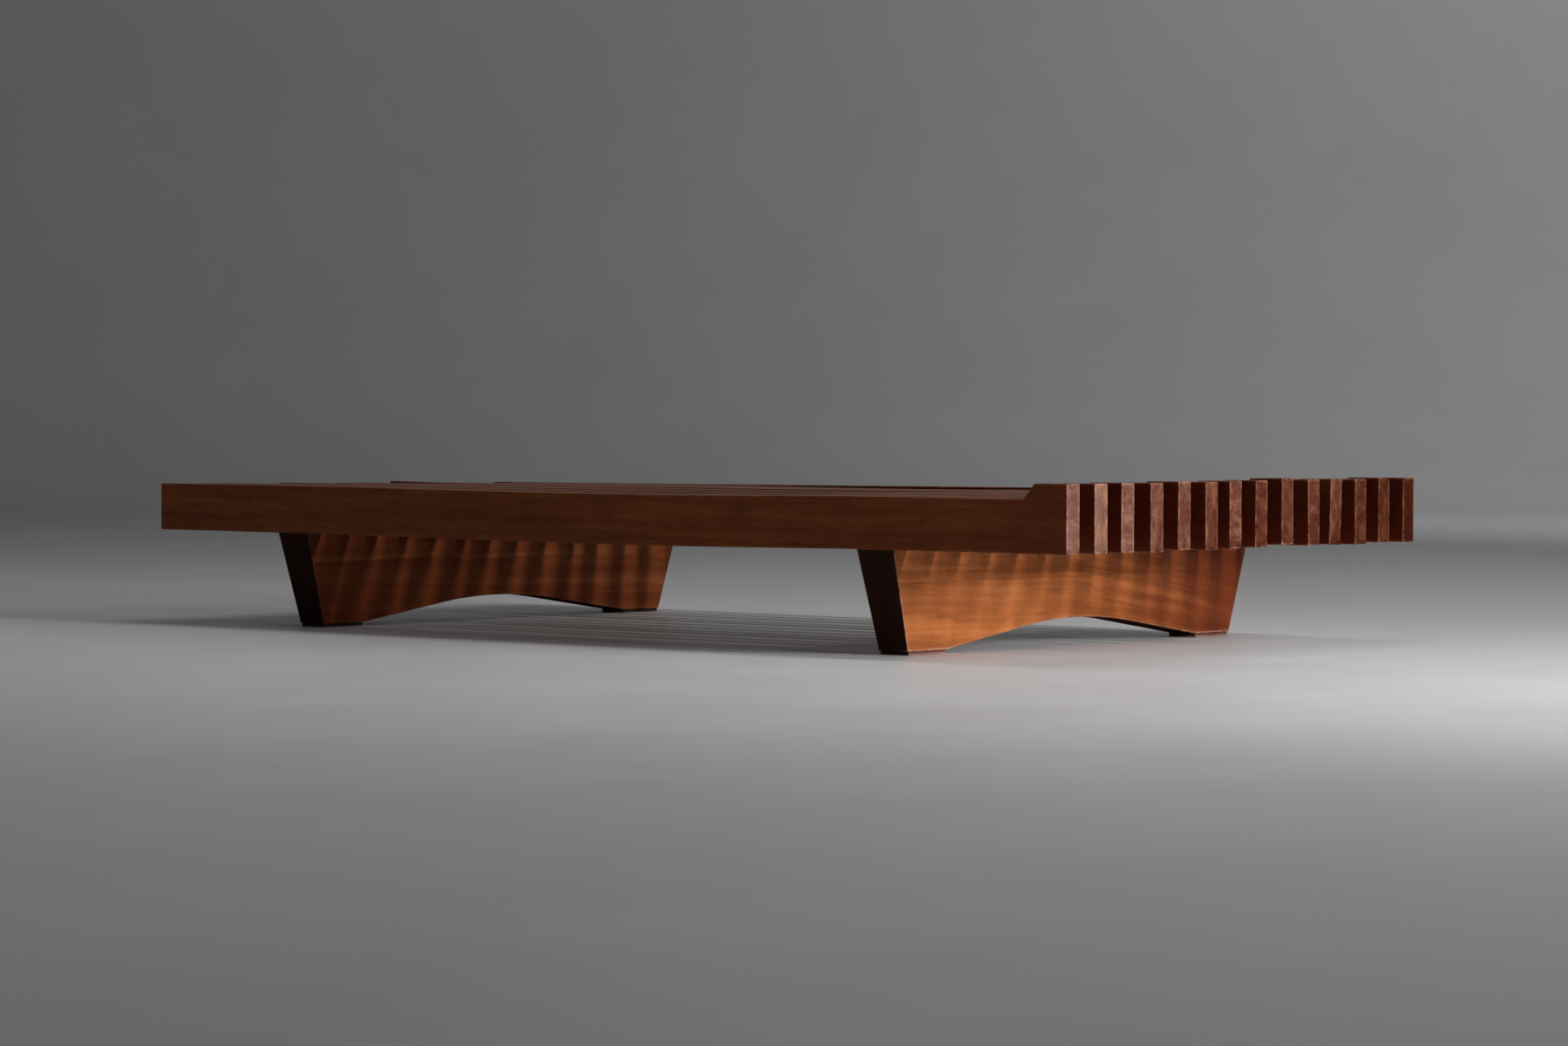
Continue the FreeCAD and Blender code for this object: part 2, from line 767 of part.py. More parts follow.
def make_pad(label, leg_alias, sign):
    """Thin strip under one foot, a little smaller than the foot all round."""
    body = new_body(label)
    plan = new_sketch(body, "XY_Plane", "plan_" + label)
    out = end_y(BASE) - V["pad_margin"]
    inner = end_y(BASE) - V["foot_width"] + V["pad_margin"]
    half = V["leg_thick_foot"] / 2 - V["pad_margin"]
    lo, hi = (inner, out) if sign > 0 else (-out, -inner)
    g = closed_polygon(plan, [(-half, lo), (half, lo), (half, hi), (-half, hi)])
    for k in (0, 2):
        plan.addConstraint(Sketcher.Constraint("Horizontal", g[k]))
    for k in (1, 3):
        plan.addConstraint(Sketcher.Constraint("Vertical", g[k]))
    half_expr = "%s / 2 - %s" % (ref("leg_thick_foot"), ref("pad_margin"))
    out_expr = "%s / 2 - %s - %s" % (ref("bed_width"), ref("leg_inset"), ref("pad_margin"))
    in_expr = "%s / 2 - %s - %s + %s" % (
        ref("bed_width"),
        ref("leg_inset"),
        ref("foot_width"),
        ref("pad_margin"),
    )
    pin_x(plan, g[0], 1, -half, "-1 * (%s)" % half_expr, "low_x")
    pin_x(plan, g[0], 2, half, half_expr, "high_x")
    if sign > 0:
        pin_y(plan, g[0], 1, lo, in_expr, "low_y")
        pin_y(plan, g[2], 1, hi, out_expr, "high_y")
    else:
        pin_y(plan, g[0], 1, lo, "-1 * (%s)" % out_expr, "low_y")
        pin_y(plan, g[2], 1, hi, "-1 * (%s)" % in_expr, "high_y")
    doc.recompute()
    pad = body.newObject("PartDesign::Pad", "strip_" + label)
    pad.Profile = plan
    pad.Type = "Length"
    pad.Length = V["pad_thick"]
    pad.setExpression("Length", ref("pad_thick"))
    body.Tip = pad
    doc.recompute()
    names = [
        "Edge%d" % (k + 1)
        for k, e in enumerate(pad.Shape.Edges)
        if abs(e.Vertexes[0].Point.z - e.Vertexes[-1].Point.z) > 1
    ]
    corners = body.newObject("PartDesign::Fillet", "corners_" + label)
    corners.Base = (pad, names)
    corners.Radius = 3.0
    body.Tip = corners
    body.setExpression("Placement.Base.x", ref(leg_alias))
    doc.recompute()
    PARTS.append(body)


for tag, leg in (("head", "head_leg_x"), ("foot", "foot_leg_x")):
    make_upper_board(tag, leg)
    make_arch_board(tag, leg)
    make_dowels(
        "%s_leg_slat_dowels" % tag,
        slat_dowel_centres(),
        "dowel_radius",
        "dowel_half",
        "seat_level",
        leg,
    )
    make_dowels(
        "%s_leg_joint_dowels" % tag,
        tie_centres(),
        "tie_radius",
        "tie_half",
        "joint_level",
        leg,
    )
    make_pad("%s_leg_pad_near" % tag, leg, -1)
    make_pad("%s_leg_pad_far" % tag, leg, 1)

# ---------------------------------------------------------------------------
# Checks and output
# ---------------------------------------------------------------------------
doc.recompute()
for obj in doc.Objects:
    for word in ("Invalid", "Error"):
        if word in obj.State:
            raise RuntimeError("%s is %s" % (obj.Name, obj.State))
for body in PARTS:
    if body.Shape.isNull() or not body.Shape.isValid():
        raise RuntimeError("%s has no valid shape" % body.Label)
    for sketch in [o for o in body.Group if o.TypeId == "Sketcher::SketchObject"]:
        if not sketch.FullyConstrained:
            print("not fully constrained:", sketch.Name)

os.makedirs("parts", exist_ok=True)
total = 0.0
for body in PARTS:
    body.Shape.exportStep("parts/%s.step" % body.Label)
    box = body.Shape.BoundBox
    total += body.Shape.Volume
    print(
        "%-24s solids %2d  x %8.1f %8.1f  y %8.1f %8.1f  z %7.1f %7.1f  cm3 %9.1f"
        % (
            body.Label,
            len(body.Shape.Solids),
            box.XMin,
            box.XMax,
            box.YMin,
            box.YMax,
            box.ZMin,
            box.ZMax,
            body.Shape.Volume / 1000,
        )
    )
print("pieces", len(PARTS), "volume", round(total / 1e6, 2), "dm3")
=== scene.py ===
import math

import bpy
import numpy as np
from mathutils import Matrix, Vector


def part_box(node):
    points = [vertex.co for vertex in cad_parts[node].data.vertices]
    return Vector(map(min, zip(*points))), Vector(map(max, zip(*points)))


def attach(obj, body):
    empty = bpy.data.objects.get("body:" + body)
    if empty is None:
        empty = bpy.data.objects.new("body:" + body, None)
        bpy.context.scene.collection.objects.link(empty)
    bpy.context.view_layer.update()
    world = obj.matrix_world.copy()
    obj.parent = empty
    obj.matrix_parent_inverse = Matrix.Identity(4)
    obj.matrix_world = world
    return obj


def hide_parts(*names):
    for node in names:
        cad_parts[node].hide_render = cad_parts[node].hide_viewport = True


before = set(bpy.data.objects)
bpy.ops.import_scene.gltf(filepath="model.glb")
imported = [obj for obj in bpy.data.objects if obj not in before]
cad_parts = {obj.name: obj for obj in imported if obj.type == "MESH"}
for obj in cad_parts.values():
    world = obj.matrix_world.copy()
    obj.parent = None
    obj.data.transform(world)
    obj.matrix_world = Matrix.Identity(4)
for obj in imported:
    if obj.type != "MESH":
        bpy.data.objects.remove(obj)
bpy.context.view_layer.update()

MM = 0.001

# ---------------------------------------------------------------------------
# Small tools: seeded noise, lofted solids, weighted normals
# ---------------------------------------------------------------------------


def rng(seed):
    return np.random.RandomState(seed)


def noise1(x, step, seed, octaves=3):
    """Smooth seeded noise along a line, about -1 to 1. step is its longest wave."""
    x = np.asarray(x, float)
    total = np.zeros_like(x)
    amp, norm = 1.0, 0.0
    for o in range(octaves):
        r = rng(seed * 131 + o * 17 + 5)
        knots = r.uniform(-1, 1, 4096)
        t = x / (step / 2**o) + 1024.37
        i = np.floor(t).astype(int)
        f = t - i
        f = f * f * (3 - 2 * f)
        total += amp * (knots[i % 4096] * (1 - f) + knots[(i + 1) % 4096] * f)
        norm += amp
        amp *= 0.5
    return total / norm


def noise2(x, y, sx, sy, seed, octaves=2):
    """Smooth seeded noise over a plane, about -1 to 1."""
    x, y = np.broadcast_arrays(np.asarray(x, float), np.asarray(y, float))
    total = np.zeros(x.shape)
    amp, norm = 1.0, 0.0
    for o in range(octaves):
        r = rng(seed * 97 + o * 31 + 11)
        grid = r.uniform(-1, 1, (128, 128))
        tx = x / (sx / 2**o) + 57.3
        ty = y / (sy / 2**o) + 41.9
        i, j = np.floor(tx).astype(int), np.floor(ty).astype(int)
        fx, fy = tx - i, ty - j
        fx = fx * fx * (3 - 2 * fx)
        fy = fy * fy * (3 - 2 * fy)
        a = grid[i % 128, j % 128] * (1 - fx) + grid[(i + 1) % 128, j % 128] * fx
        b = grid[i % 128, (j + 1) % 128] * (1 - fx)
        b = b + grid[(i + 1) % 128, (j + 1) % 128] * fx
        total += amp * (a * (1 - fy) + b * fy)
        norm += amp
        amp *= 0.5
    return total / norm


def fill_faces(stations, ring):
    """Quads between consecutive rings of equal count, stations rings in all."""
    faces = []
    for s in range(stations - 1):
        a, b = s * ring, (s + 1) * ring
        for k in range(ring):
            n = (k + 1) % ring
            faces.append((a + k, a + n, b + n, b + k))
    return faces


def signed_volume(co, faces):
    """Signed volume of a closed mesh; negative when its faces point inwards."""
    corners = []
    for f in faces:
        for k in range(1, len(f) - 1):
            corners.append((f[0], f[k], f[k + 1]))
    t = np.asarray(corners, int)
    return float(np.einsum("ij,ij->", co[t[:, 0]], np.cross(co[t[:, 1]], co[t[:, 2]]))) / 6.0


def weighted_normals(me):
    """Large faces keep their own direction, so that only the small roundings shade round."""
    nv, nf = len(me.vertices), len(me.polygons)
    area = np.zeros(nf)
    me.polygons.foreach_get("area", area)
    normal = np.zeros(nf * 3)
    me.polygons.foreach_get("normal", normal)
    normal = normal.reshape(-1, 3)
    start = np.zeros(nf, int)
    count = np.zeros(nf, int)
    me.polygons.foreach_get("loop_start", start)
    me.polygons.foreach_get("loop_total", count)
    vert = np.zeros(len(me.loops), int)
    me.loops.foreach_get("vertex_index", vert)
    face_of = np.repeat(np.arange(nf), count)
    out = np.zeros((nv, 3))
    w = (area[face_of] ** 1.5)[:, None] * normal[face_of]
    np.add.at(out, vert, w)
    length = np.linalg.norm(out, axis=1)
    out /= np.maximum(length, 1e-20)[:, None]
    me.normals_split_custom_set_from_vertices(out)


def build(name, co, faces, points=None, caps_from=None):
    """A mesh object. points: {attribute: (kind, values per vertex)}. Faces from caps_from on
    take the second material."""
    co = np.asarray(co, float)
    if signed_volume(co, faces) < 0:
        faces = [tuple(reversed(f)) for f in faces]
    me = bpy.data.meshes.new(name)
    me.from_pydata([tuple(c) for c in co], [], [tuple(int(i) for i in f) for f in faces])
    if caps_from is not None:
        index = np.zeros(len(faces), np.int32)
        index[caps_from:] = 1
        me.polygons.foreach_set("material_index", index)
    for key, (kind, values) in (points or {}).items():
        layer = me.attributes.new(key, kind, "POINT")
        if kind == "FLOAT_VECTOR":
            layer.data.foreach_set("vector", np.asarray(values, np.float32).ravel())
        else:
            layer.data.foreach_set("value", np.asarray(values, np.float32).ravel())
    for p in me.polygons:
        p.use_smooth = True
    me.update()
    weighted_normals(me)
    ob = bpy.data.objects.new(name, me)
    bpy.context.scene.collection.objects.link(ob)
    return ob


def close_ends(co, wear, ends, faces, n, stations, section, amounts):
    """Close both ends of a loft with rings that shrink towards the middle of the end face."""
    total = stations * n
    for first in (True, False):
        i = 0 if first else stations - 1
        previous = list(range(i * n, (i + 1) * n))
        for amount in amounts:
            ring, worn = section(i, amount)
            co.append(ring)
            wear.append(worn)
            ends.append(np.ones(n))
            inner = list(range(total, total + n))
            total += n
            for k in range(n):
                m = (k + 1) % n
                if first:
                    faces.append((inner[k], inner[m], previous[m], previous[k]))
                else:
                    faces.append((previous[k], previous[m], inner[m], inner[k]))
            previous = inner
        faces.append(tuple(reversed(previous)) if first else tuple(previous))


def inset_at(d, r):
    """How far a face stands in at distance d from an end that is rounded with radius r."""
    d = np.clip(d, 0, r)
    return r - np.sqrt(np.maximum(r * r - (r - d) ** 2, 0.0))


# ---------------------------------------------------------------------------
# Slats
# ---------------------------------------------------------------------------
HEAD_FACE = 0.6595  # outer sides of the two legs' tops, along the slats
FOOT_FACE = -0.6825
LEG_TOP = 0.073
HALF_L = 0.980
SEAT = 0.160
SLAT_H = 0.080
LIP_H = 0.103
LIP_A = 0.901
LIP_B = 0.921
HALF_T = 0.016

# per slat: bow at the ends (mm), end tweak (mm), twist at head end (deg), twist at foot
# end (deg), arris radius (mm)
SLAT_SHAPE = {
    1: (0.0, 0.0, 0.0, 0.0, 1.5),
    2: (0.0, -0.4, 0.3, 0.0, 1.7),
    3: (0.0, 0.0, -0.4, 0.4, 1.6),
    4: (0.0, -0.9, 0.2, -0.3, 1.4),
    5: (0.0, 0.5, -0.5, 0.2, 1.8),
    6: (0.0, -0.9, 0.5, 0.0, 1.6),
    7: (0.0, 0.0, 0.2, 0.3, 1.5),
    8: (0.0, 0.2, -0.7, -0.4, 1.7),
    9: (3.5, -0.3, 0.2, -0.2, 1.6),
    10: (0.0, 0.3, 0.6, 0.5, 1.5),
    11: (0.0, 0.0, -2.6, 0.5, 1.7),
    12: (0.0, -0.9, 0.3, 0.0, 1.6),
    13: (0.0, 1.1, -0.3, -0.5, 1.5),
    14: (0.0, 0.0, 0.0, 0.0, 1.7),
}


# how far each slat hangs between the legs (mm); the one on the far side has stayed straight
SLAT_SAG = {
    1: 3.5, 2: 4.2, 3: 3.2, 4: 4.1, 5: 2.9, 6: 3.7, 7: 2.5,
    8: 3.4, 9: 2.1, 10: 3.0, 11: 3.3, 12: 3.8, 13: 4.2, 14: 0.1,
}


def settle(x, y):
    """The bed stands a little out of true: towards the foot end its far side hangs lower."""
    share = np.clip((0.62 - np.asarray(x)) / 1.6, 0.0, 1.0)
    across = np.clip((np.asarray(y) + 0.45) / 0.9, 0.0, 1.0)
    return -8.0 * MM * share * across


def slat_height(x):
    return np.interp(x, [LIP_A, LIP_B], [SLAT_H, LIP_H])


def ring_of(half, low, high, r, seg=3):
    """Rounded rectangle as points (v, w, closeness to an arris), anticlockwise."""
    pts = []

    def arc(cv, cw, a0):
        for k in range(seg + 1):
            a = a0 + (math.pi / 2) * k / seg
            pts.append((cv + r * math.cos(a), cw + r * math.sin(a), 1.0))

    height = high - low
    near = [0.0025, 0.007]
    # underside corner on the near side, then along the underside
    arc(-half + r, low + r, math.pi)
    for v in (-half * 0.62, 0.0, half * 0.62):
        pts.append((v, low, 0.0))
    arc(half - r, low + r, -math.pi / 2)
    side = [r + d for d in near] + [height * q for q in (0.28, 0.5, 0.72)]
    side += [height - r - d for d in reversed(near)]
    for d in side:
        edge = min(d, height - d) - r
        pts.append((half, low + d, math.exp(-edge / 0.0022)))
    arc(half - r, high - r, 0.0)
    for v in (half * 0.62, 0.0, -half * 0.62):
        pts.append((v, high, 0.0))
    arc(-half + r, high - r, math.pi / 2)
    for d in reversed(side):
        edge = min(d, height - d) - r
        pts.append((-half, low + d, math.exp(-edge / 0.0022)))
    return np.array(pts)


def make_slat(number):
    name = "slat_%02d" % number
    lo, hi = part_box(name)
    yc = (lo.y + hi.y) / 2
    bow, tweak, twist_head, twist_foot, arris = SLAT_SHAPE[number]
    r = arris * MM
    rand = rng(900 + number)
    end_r = 1.1 * MM

    # Stations along the board, closer at its ends, at the lip and at each ding.
    xs = list(np.arange(-HALF_L + 0.012, HALF_L - 0.012, 0.0125))
    for e in (0.0, 0.00035, 0.0011, 0.003, 0.007):
        xs += [-HALF_L + e, HALF_L - e]
    for c in (LIP_A, LIP_B):
        xs += [c - 0.004, c - 0.0015, c, c + 0.0015, c + 0.004]
    dings = []
    for k in range(rand.randint(5, 9)):
        x0 = rand.uniform(-0.95, 0.96)
        length = rand.uniform(0.003, 0.011)
        corner = rand.choice([2, 3, 2, 3, 0, 1])
        depth = rand.uniform(0.25, 0.8) * MM
        dings.append((x0, length, corner, depth))
        xs += [x0 + length * q for q in (-0.6, -0.3, 0.0, 0.3, 0.6)]
    xs = np.array(sorted(x for x in xs if -HALF_L <= x <= HALF_L))
    keep = [0]
    for i in range(1, len(xs)):
        if xs[i] - xs[keep[-1]] > 0.0003:
            keep.append(i)
    if keep[-1] != len(xs) - 1:
        keep[-1] = len(xs) - 1
    xs = xs[keep]

    base = ring_of(HALF_T, 0.0, SLAT_H, r)
    n = len(base)
    corner_of = np.full(n, -1)
    corner_of[0:4] = 0
    corner_of[7:11] = 1
    corner_of[18:22] = 2
    corner_of[25:29] = 3

    wave = noise1(xs, 0.55, 40 + number, 2)  # sideways wander of the board
    nick = [np.maximum(0, noise1(xs, 0.05, 300 + number * 7 + c, 3) - 0.32) for c in range(4)]

    def section(i, amount):
        """Ring of the board at station i, shrunk all round by amount (for the end faces)."""
        x = xs[i]
        h = float(slat_height(x))
        d = min(x + HALF_L, HALF_L - x)
        inset = float(inset_at(d, end_r)) + amount
        pts = ring_of(HALF_T - inset, inset, h - inset, max(r - inset * 0.5, 0.4 * MM))
        v, w, k = pts[:, 0].copy(), pts[:, 1].copy(), pts[:, 2].copy()
        # arris wear: irregular roundover and dings, always inwards
        cut = np.zeros(n)
        for c in range(4):
            cut[corner_of == c] += nick[c][i] * 0.55 * MM
        for x0, length, corner, depth in dings:
            q = abs(x - x0) / (length * 0.6)
            if q < 1:
                cut[corner_of == corner] += depth * (1 - q * q) ** 1.5
        if amount > 0:
            cut *= 0.0
        v += np.where(v < 0, 1.0, -1.0) * cut * 0.7
        w += np.where(w < h / 2, 1.0, -1.0) * cut * 0.7
        # faces are a hair hollow or full, as planed boards are
        face = noise2(x, w, 0.35, 0.09, 60 + number) * 0.16 * MM
        side = (np.abs(v) > HALF_T - 0.5 * MM) & (corner_of < 0)
        v[side] += np.sign(v[side]) * (face[side] - 0.17 * MM)
        # sag between the legs, bow and tweak beyond them, twist
        mid = (HEAD_FACE + FOOT_FACE) / 2
        u = (x - mid) / ((HEAD_FACE - FOOT_FACE) / 2 - LEG_TOP)
        sag = 0.0
        if abs(u) < 1:
            sag = -SLAT_SAG[number] * MM * (1 - u * u) ** 1.5 * (1 + 0.45 * u)
        out = 0.0
        if x > HEAD_FACE:
            out = (x - HEAD_FACE) / (HALF_L - HEAD_FACE)
        elif x < FOOT_FACE:
            out = (FOOT_FACE - x) / (HALF_L + FOOT_FACE)
        lift = (bow + tweak) * MM * out * out
        turn = math.radians((twist_head if x > 0 else twist_foot)) * (
            max(0.0, (abs(x) - 0.25) / 0.73) ** 1.3
        )
        wander = wave[i] * 0.35 * MM if number not in (1, 14) else 0.0
        pivot = h * 0.45
        vy = v * math.cos(turn) - (w - pivot) * math.sin(turn)
        wz = v * math.sin(turn) + (w - pivot) * math.cos(turn) + pivot
        ring = np.stack([np.full(n, x), yc + vy + wander, SEAT + wz + sag + lift], 1)
        ring[:, 2] += settle(x, ring[:, 1])
        worn = np.maximum(k + cut / MM * 0.8, math.exp(-d / 0.0022))
        if amount > 0:
            worn = np.full(n, math.exp(-amount / 0.0022))
        return ring, worn

    co, wear, ends = [], [], []
    for i in range(len(xs)):
        ring, worn = section(i, 0.0)
        d = min(xs[i] + HALF_L, HALF_L - xs[i])
        co.append(ring)
        wear.append(worn)
        ends.append(np.full(n, 1.0 if d < end_r * 0.5 else 0.0))
    faces = fill_faces(len(xs), n)
    caps_from = len(faces)
    close_ends(co, wear, ends, faces, n, len(xs), section, (0.0022, 0.0058, 0.0105))
    co, wear, ends = np.concatenate(co), np.concatenate(wear), np.concatenate(ends)

    # place in the log: distance from the heart of the tree, and a start along the grain
    heart = np.array([rand.uniform(-0.09, 0.09), rand.uniform(-0.35, -0.12)])
    turn = rand.uniform(-0.5, 0.5) + (math.pi / 2 if rand.uniform() < 0.4 else 0)
    ly = co[:, 1] - yc
    lz = co[:, 2] - SEAT - 0.04
    gy = ly * math.cos(turn) - lz * math.sin(turn) - heart[0]
    gz = ly * math.sin(turn) + lz * math.cos(turn) - heart[1]
    gx = co[:, 0] + number * 3.7
    grain = np.stack([gx, gy, gz], 1)
    # painted shade: the faces inside the gaps, where little light reaches, are made darker and
    # redder than the outer sides, which stay browner
    tone_and_shade = np.full(len(co), SLAT_TONE_AND_SHADE[number])
    facing = (co[:, 1] - yc) / HALF_T
    if number > 1:
        tone_and_shade -= 0.62 * np.clip((-facing - 0.75) * 4.0, 0, 1) * (ends < 0.5)
    if number < 14:
        tone_and_shade -= 0.50 * np.clip((facing - 0.75) * 4.0, 0, 1) * (ends < 0.5)
    if number == 1:
        # the outermost slat is a little darker towards the head end
        tone_and_shade -= 0.12 * np.clip((co[:, 0] - 0.35) / 0.3, 0, 1) * (ends < 0.5)
        tone_and_shade -= 0.12 * np.clip((co[:, 0] - 0.80) / 0.1, 0, 1) * (ends < 0.5)
    tone_and_shade = np.clip(tone_and_shade, 0.0, 1.0)
    # painted sheen: a pale per-slat amount on the cut ends, standing for light glancing off them
    haze_and_sheen = np.full(len(co), SLAT_HAZE_AND_SHEEN[number])
    # the tops have faded and gathered dust, and carry a painted sheen: greyed as by a grey backdrop
    # glancing off them
    top = np.zeros(n)
    top[18:29] = (0.0, 0.33, 0.67, 1.0, 1.0, 1.0, 1.0, 1.0, 0.67, 0.33, 0.0)
    dust_and_sheen = np.concatenate([np.tile(top, len(xs)), np.zeros(len(co) - n * len(xs))])
    # a red rim along the foot of each end face, and more of it on some slats
    rust = 0.9 * np.exp(-np.maximum(co[:, 2] - SEAT - 0.001, 0) / 0.0022)
    rust = rust + SLAT_RUST.get(number, 0.0) * np.clip((SEAT + 0.050 - co[:, 2]) / 0.05, 0, 1)
    ob = build(
        name + "_wood",
        co,
        faces,
        {
            "grain": ("FLOAT_VECTOR", grain),
            "wear": ("FLOAT", np.clip(wear, 0, 1)),
            "cut_end_and_shade": ("FLOAT", ends),
            "tone_and_shade": ("FLOAT", tone_and_shade),
            "haze_and_sheen": ("FLOAT", haze_and_sheen),
            "rust": ("FLOAT", np.clip(rust, 0, 1)),
            "amber": ("FLOAT", np.full(len(co), SLAT_AMBER.get(number, 0.10))),
            "dust_and_sheen": ("FLOAT", dust_and_sheen),
            "knot": ("FLOAT_VECTOR", np.full((len(co), 3), 9.0)),
        },
        caps_from,
    )
    return ob


# each slat's own tone, with painted shade on top: the slats grow darker and redder towards the far
# side, where less light reaches their cut ends
SLAT_TONE_AND_SHADE = {
    1: 0.50, 2: 0.70, 3: 0.55, 4: 0.44, 5: 0.46, 6: 0.38, 7: 0.56,
    8: 0.40, 9: 0.50, 10: 0.42, 11: 0.50, 12: 0.34, 13: 0.32, 14: 0.08,
}

# how much pale haze, a painted sheen, each cut end carries; the amount drops from the near slats to
# the far ones as painted light falloff
SLAT_HAZE_AND_SHEEN = {
    1: 0.87, 2: 0.98, 3: 0.82, 4: 0.63, 5: 0.62, 6: 0.44, 7: 0.60,
    8: 0.40, 9: 0.55, 10: 0.47, 11: 0.56, 12: 0.34, 13: 0.31, 14: 0.09,
}

# amber patches, and red stain towards the underside, on some of the cut ends
SLAT_AMBER = {
    1: 0.05, 2: 0.75, 3: 0.25, 4: 0.20, 6: 0.20, 7: 0.20, 9: 0.15, 10: 0.10, 11: 0.20, 12: 0.08,
    13: 0.08, 14: 0.0,
}
SLAT_RUST = {5: 0.2, 7: 0.3, 9: 0.5, 10: 0.3, 11: 0.6, 12: 0.1, 14: 0.45}


# ---------------------------------------------------------------------------
# Legs
# ---------------------------------------------------------------------------
BASE = 0.006
JOINT = 0.110
TOP_HALF = 0.466
INSET = 0.044
FOOT_W = 0.094
ARCH_Z = 0.044
ARCH_R = 0.965


def end_y(z):
    return TOP_HALF - INSET * (SEAT - z) / (SEAT - BASE)


def face_x(z):
    return 0.0365 - 0.00775 * (SEAT - z) / (SEAT - BASE)


FOOT_Y = end_y(BASE) - FOOT_W
ARCH_C = ARCH_Z - ARCH_R
_reach = math.hypot(FOOT_Y, BASE - ARCH_C)
_turn = math.atan2(FOOT_Y, BASE - ARCH_C) - math.acos(ARCH_R / _reach)
TOUCH = (ARCH_R * math.sin(_turn), ARCH_C + ARCH_R * math.cos(_turn))


def arch_z(y):
    y = np.abs(np.asarray(y, float))
    curve = ARCH_C + np.sqrt(np.maximum(ARCH_R**2 - y * y, 0))
    slope = (TOUCH[1] - BASE) / (FOOT_Y - TOUCH[0])
    flank = BASE + (FOOT_Y - y) * slope
    z = np.where(y < TOUCH[0], curve, flank)
    return np.where(y > FOOT_Y, BASE, z)


def leg_ring(z0, z1, inset, inset_low, inset_high, r_low, r_high, rows):
    """Section across a leg board: points (x, z, arris), from z0 to z1, thinning downwards."""
    pts = []
    z0, z1 = z0 + inset_low, z1 - inset_high
    hx0, hx1 = face_x(z0) - inset, face_x(z1) - inset
    seg = 3
    for k in range(seg + 1):
        a = math.pi + (math.pi / 2) * k / seg
        pts.append((-hx0 + r_low + r_low * math.cos(a), z0 + r_low + r_low * math.sin(a), 1.0))
    for q in (-0.6, 0.0, 0.6):
        pts.append((hx0 * q, z0, 0.0))
    for k in range(seg + 1):
        a = -math.pi / 2 + (math.pi / 2) * k / seg
        pts.append((hx0 - r_low + r_low * math.cos(a), z0 + r_low + r_low * math.sin(a), 1.0))
    side = []
    near = [0.0025, 0.007]
    low, high = z0 + r_low, z1 - r_high
    for d in near:
        side.append(low + d)
    for q in np.linspace(0, 1, rows + 2)[1:-1]:
        side.append(low + 0.007 + (high - low - 0.014) * q)
    for d in reversed(near):
        side.append(high - d)
    for z in side:
        edge = min(z - z0 - r_low, 99.0)
        pts.append((face_x(z) - inset, z, math.exp(-edge / 0.0022)))
    for k in range(seg + 1):
        a = (math.pi / 2) * k / seg
        pts.append((hx1 - r_high + r_high * math.cos(a), z1 - r_high + r_high * math.sin(a), 0.0))
    for q in (0.6, 0.0, -0.6):
        pts.append((hx1 * q, z1, 0.0))
    for k in range(seg + 1):
        a = math.pi / 2 + (math.pi / 2) * k / seg
        pts.append((-hx1 + r_high + r_high * math.cos(a), z1 - r_high + r_high * math.sin(a), 0.0))
    for z in reversed(side):
        edge = min(z - z0 - r_low, 99.0)
        pts.append((-face_x(z) + inset, z, math.exp(-edge / 0.0022)))
    return np.array(pts)


# where a small curled knot breaks the surface of a board
KNOTS = {2: (0.651, 0.055, 0.088)}


def leg_tone_and_shade(co, seed):
    """The colour of a leg board drifts slowly along it. On the head-end leg the far half is the
    redder and darker: painted shade for the light falling off across its face.
    """
    y, z = co[:, 1], co[:, 2]
    drift = noise2(y, z, 0.36, 0.16, 500 + seed, 2) * 0.07
    far = np.clip((y + 0.05) / 0.45, 0.0, 1.0)
    # painted shade: the head-end leg's boards darken and redden towards the far end
    if seed == 1:
        tone_and_shade = 0.55 - 0.55 * far
    elif seed == 2:
        low = np.clip((0.100 - z) / 0.06, 0.0, 1.0)
        tone_and_shade = 0.59 + 0.05 * low - 0.59 * far
    elif seed == 3:
        # paler in a thin band just above the glue line, fading towards the far end
        band = np.exp(-(((z - 0.1145) / 0.0035) ** 2)) * np.clip((0.25 - y) / 0.4, 0, 1)
        tone_and_shade = 0.15 + 0.10 * y + 0.34 * band
    else:
        tone_and_shade = 0.16 + 0.10 * y
    return np.clip(tone_and_shade + drift, 0.0, 1.0)


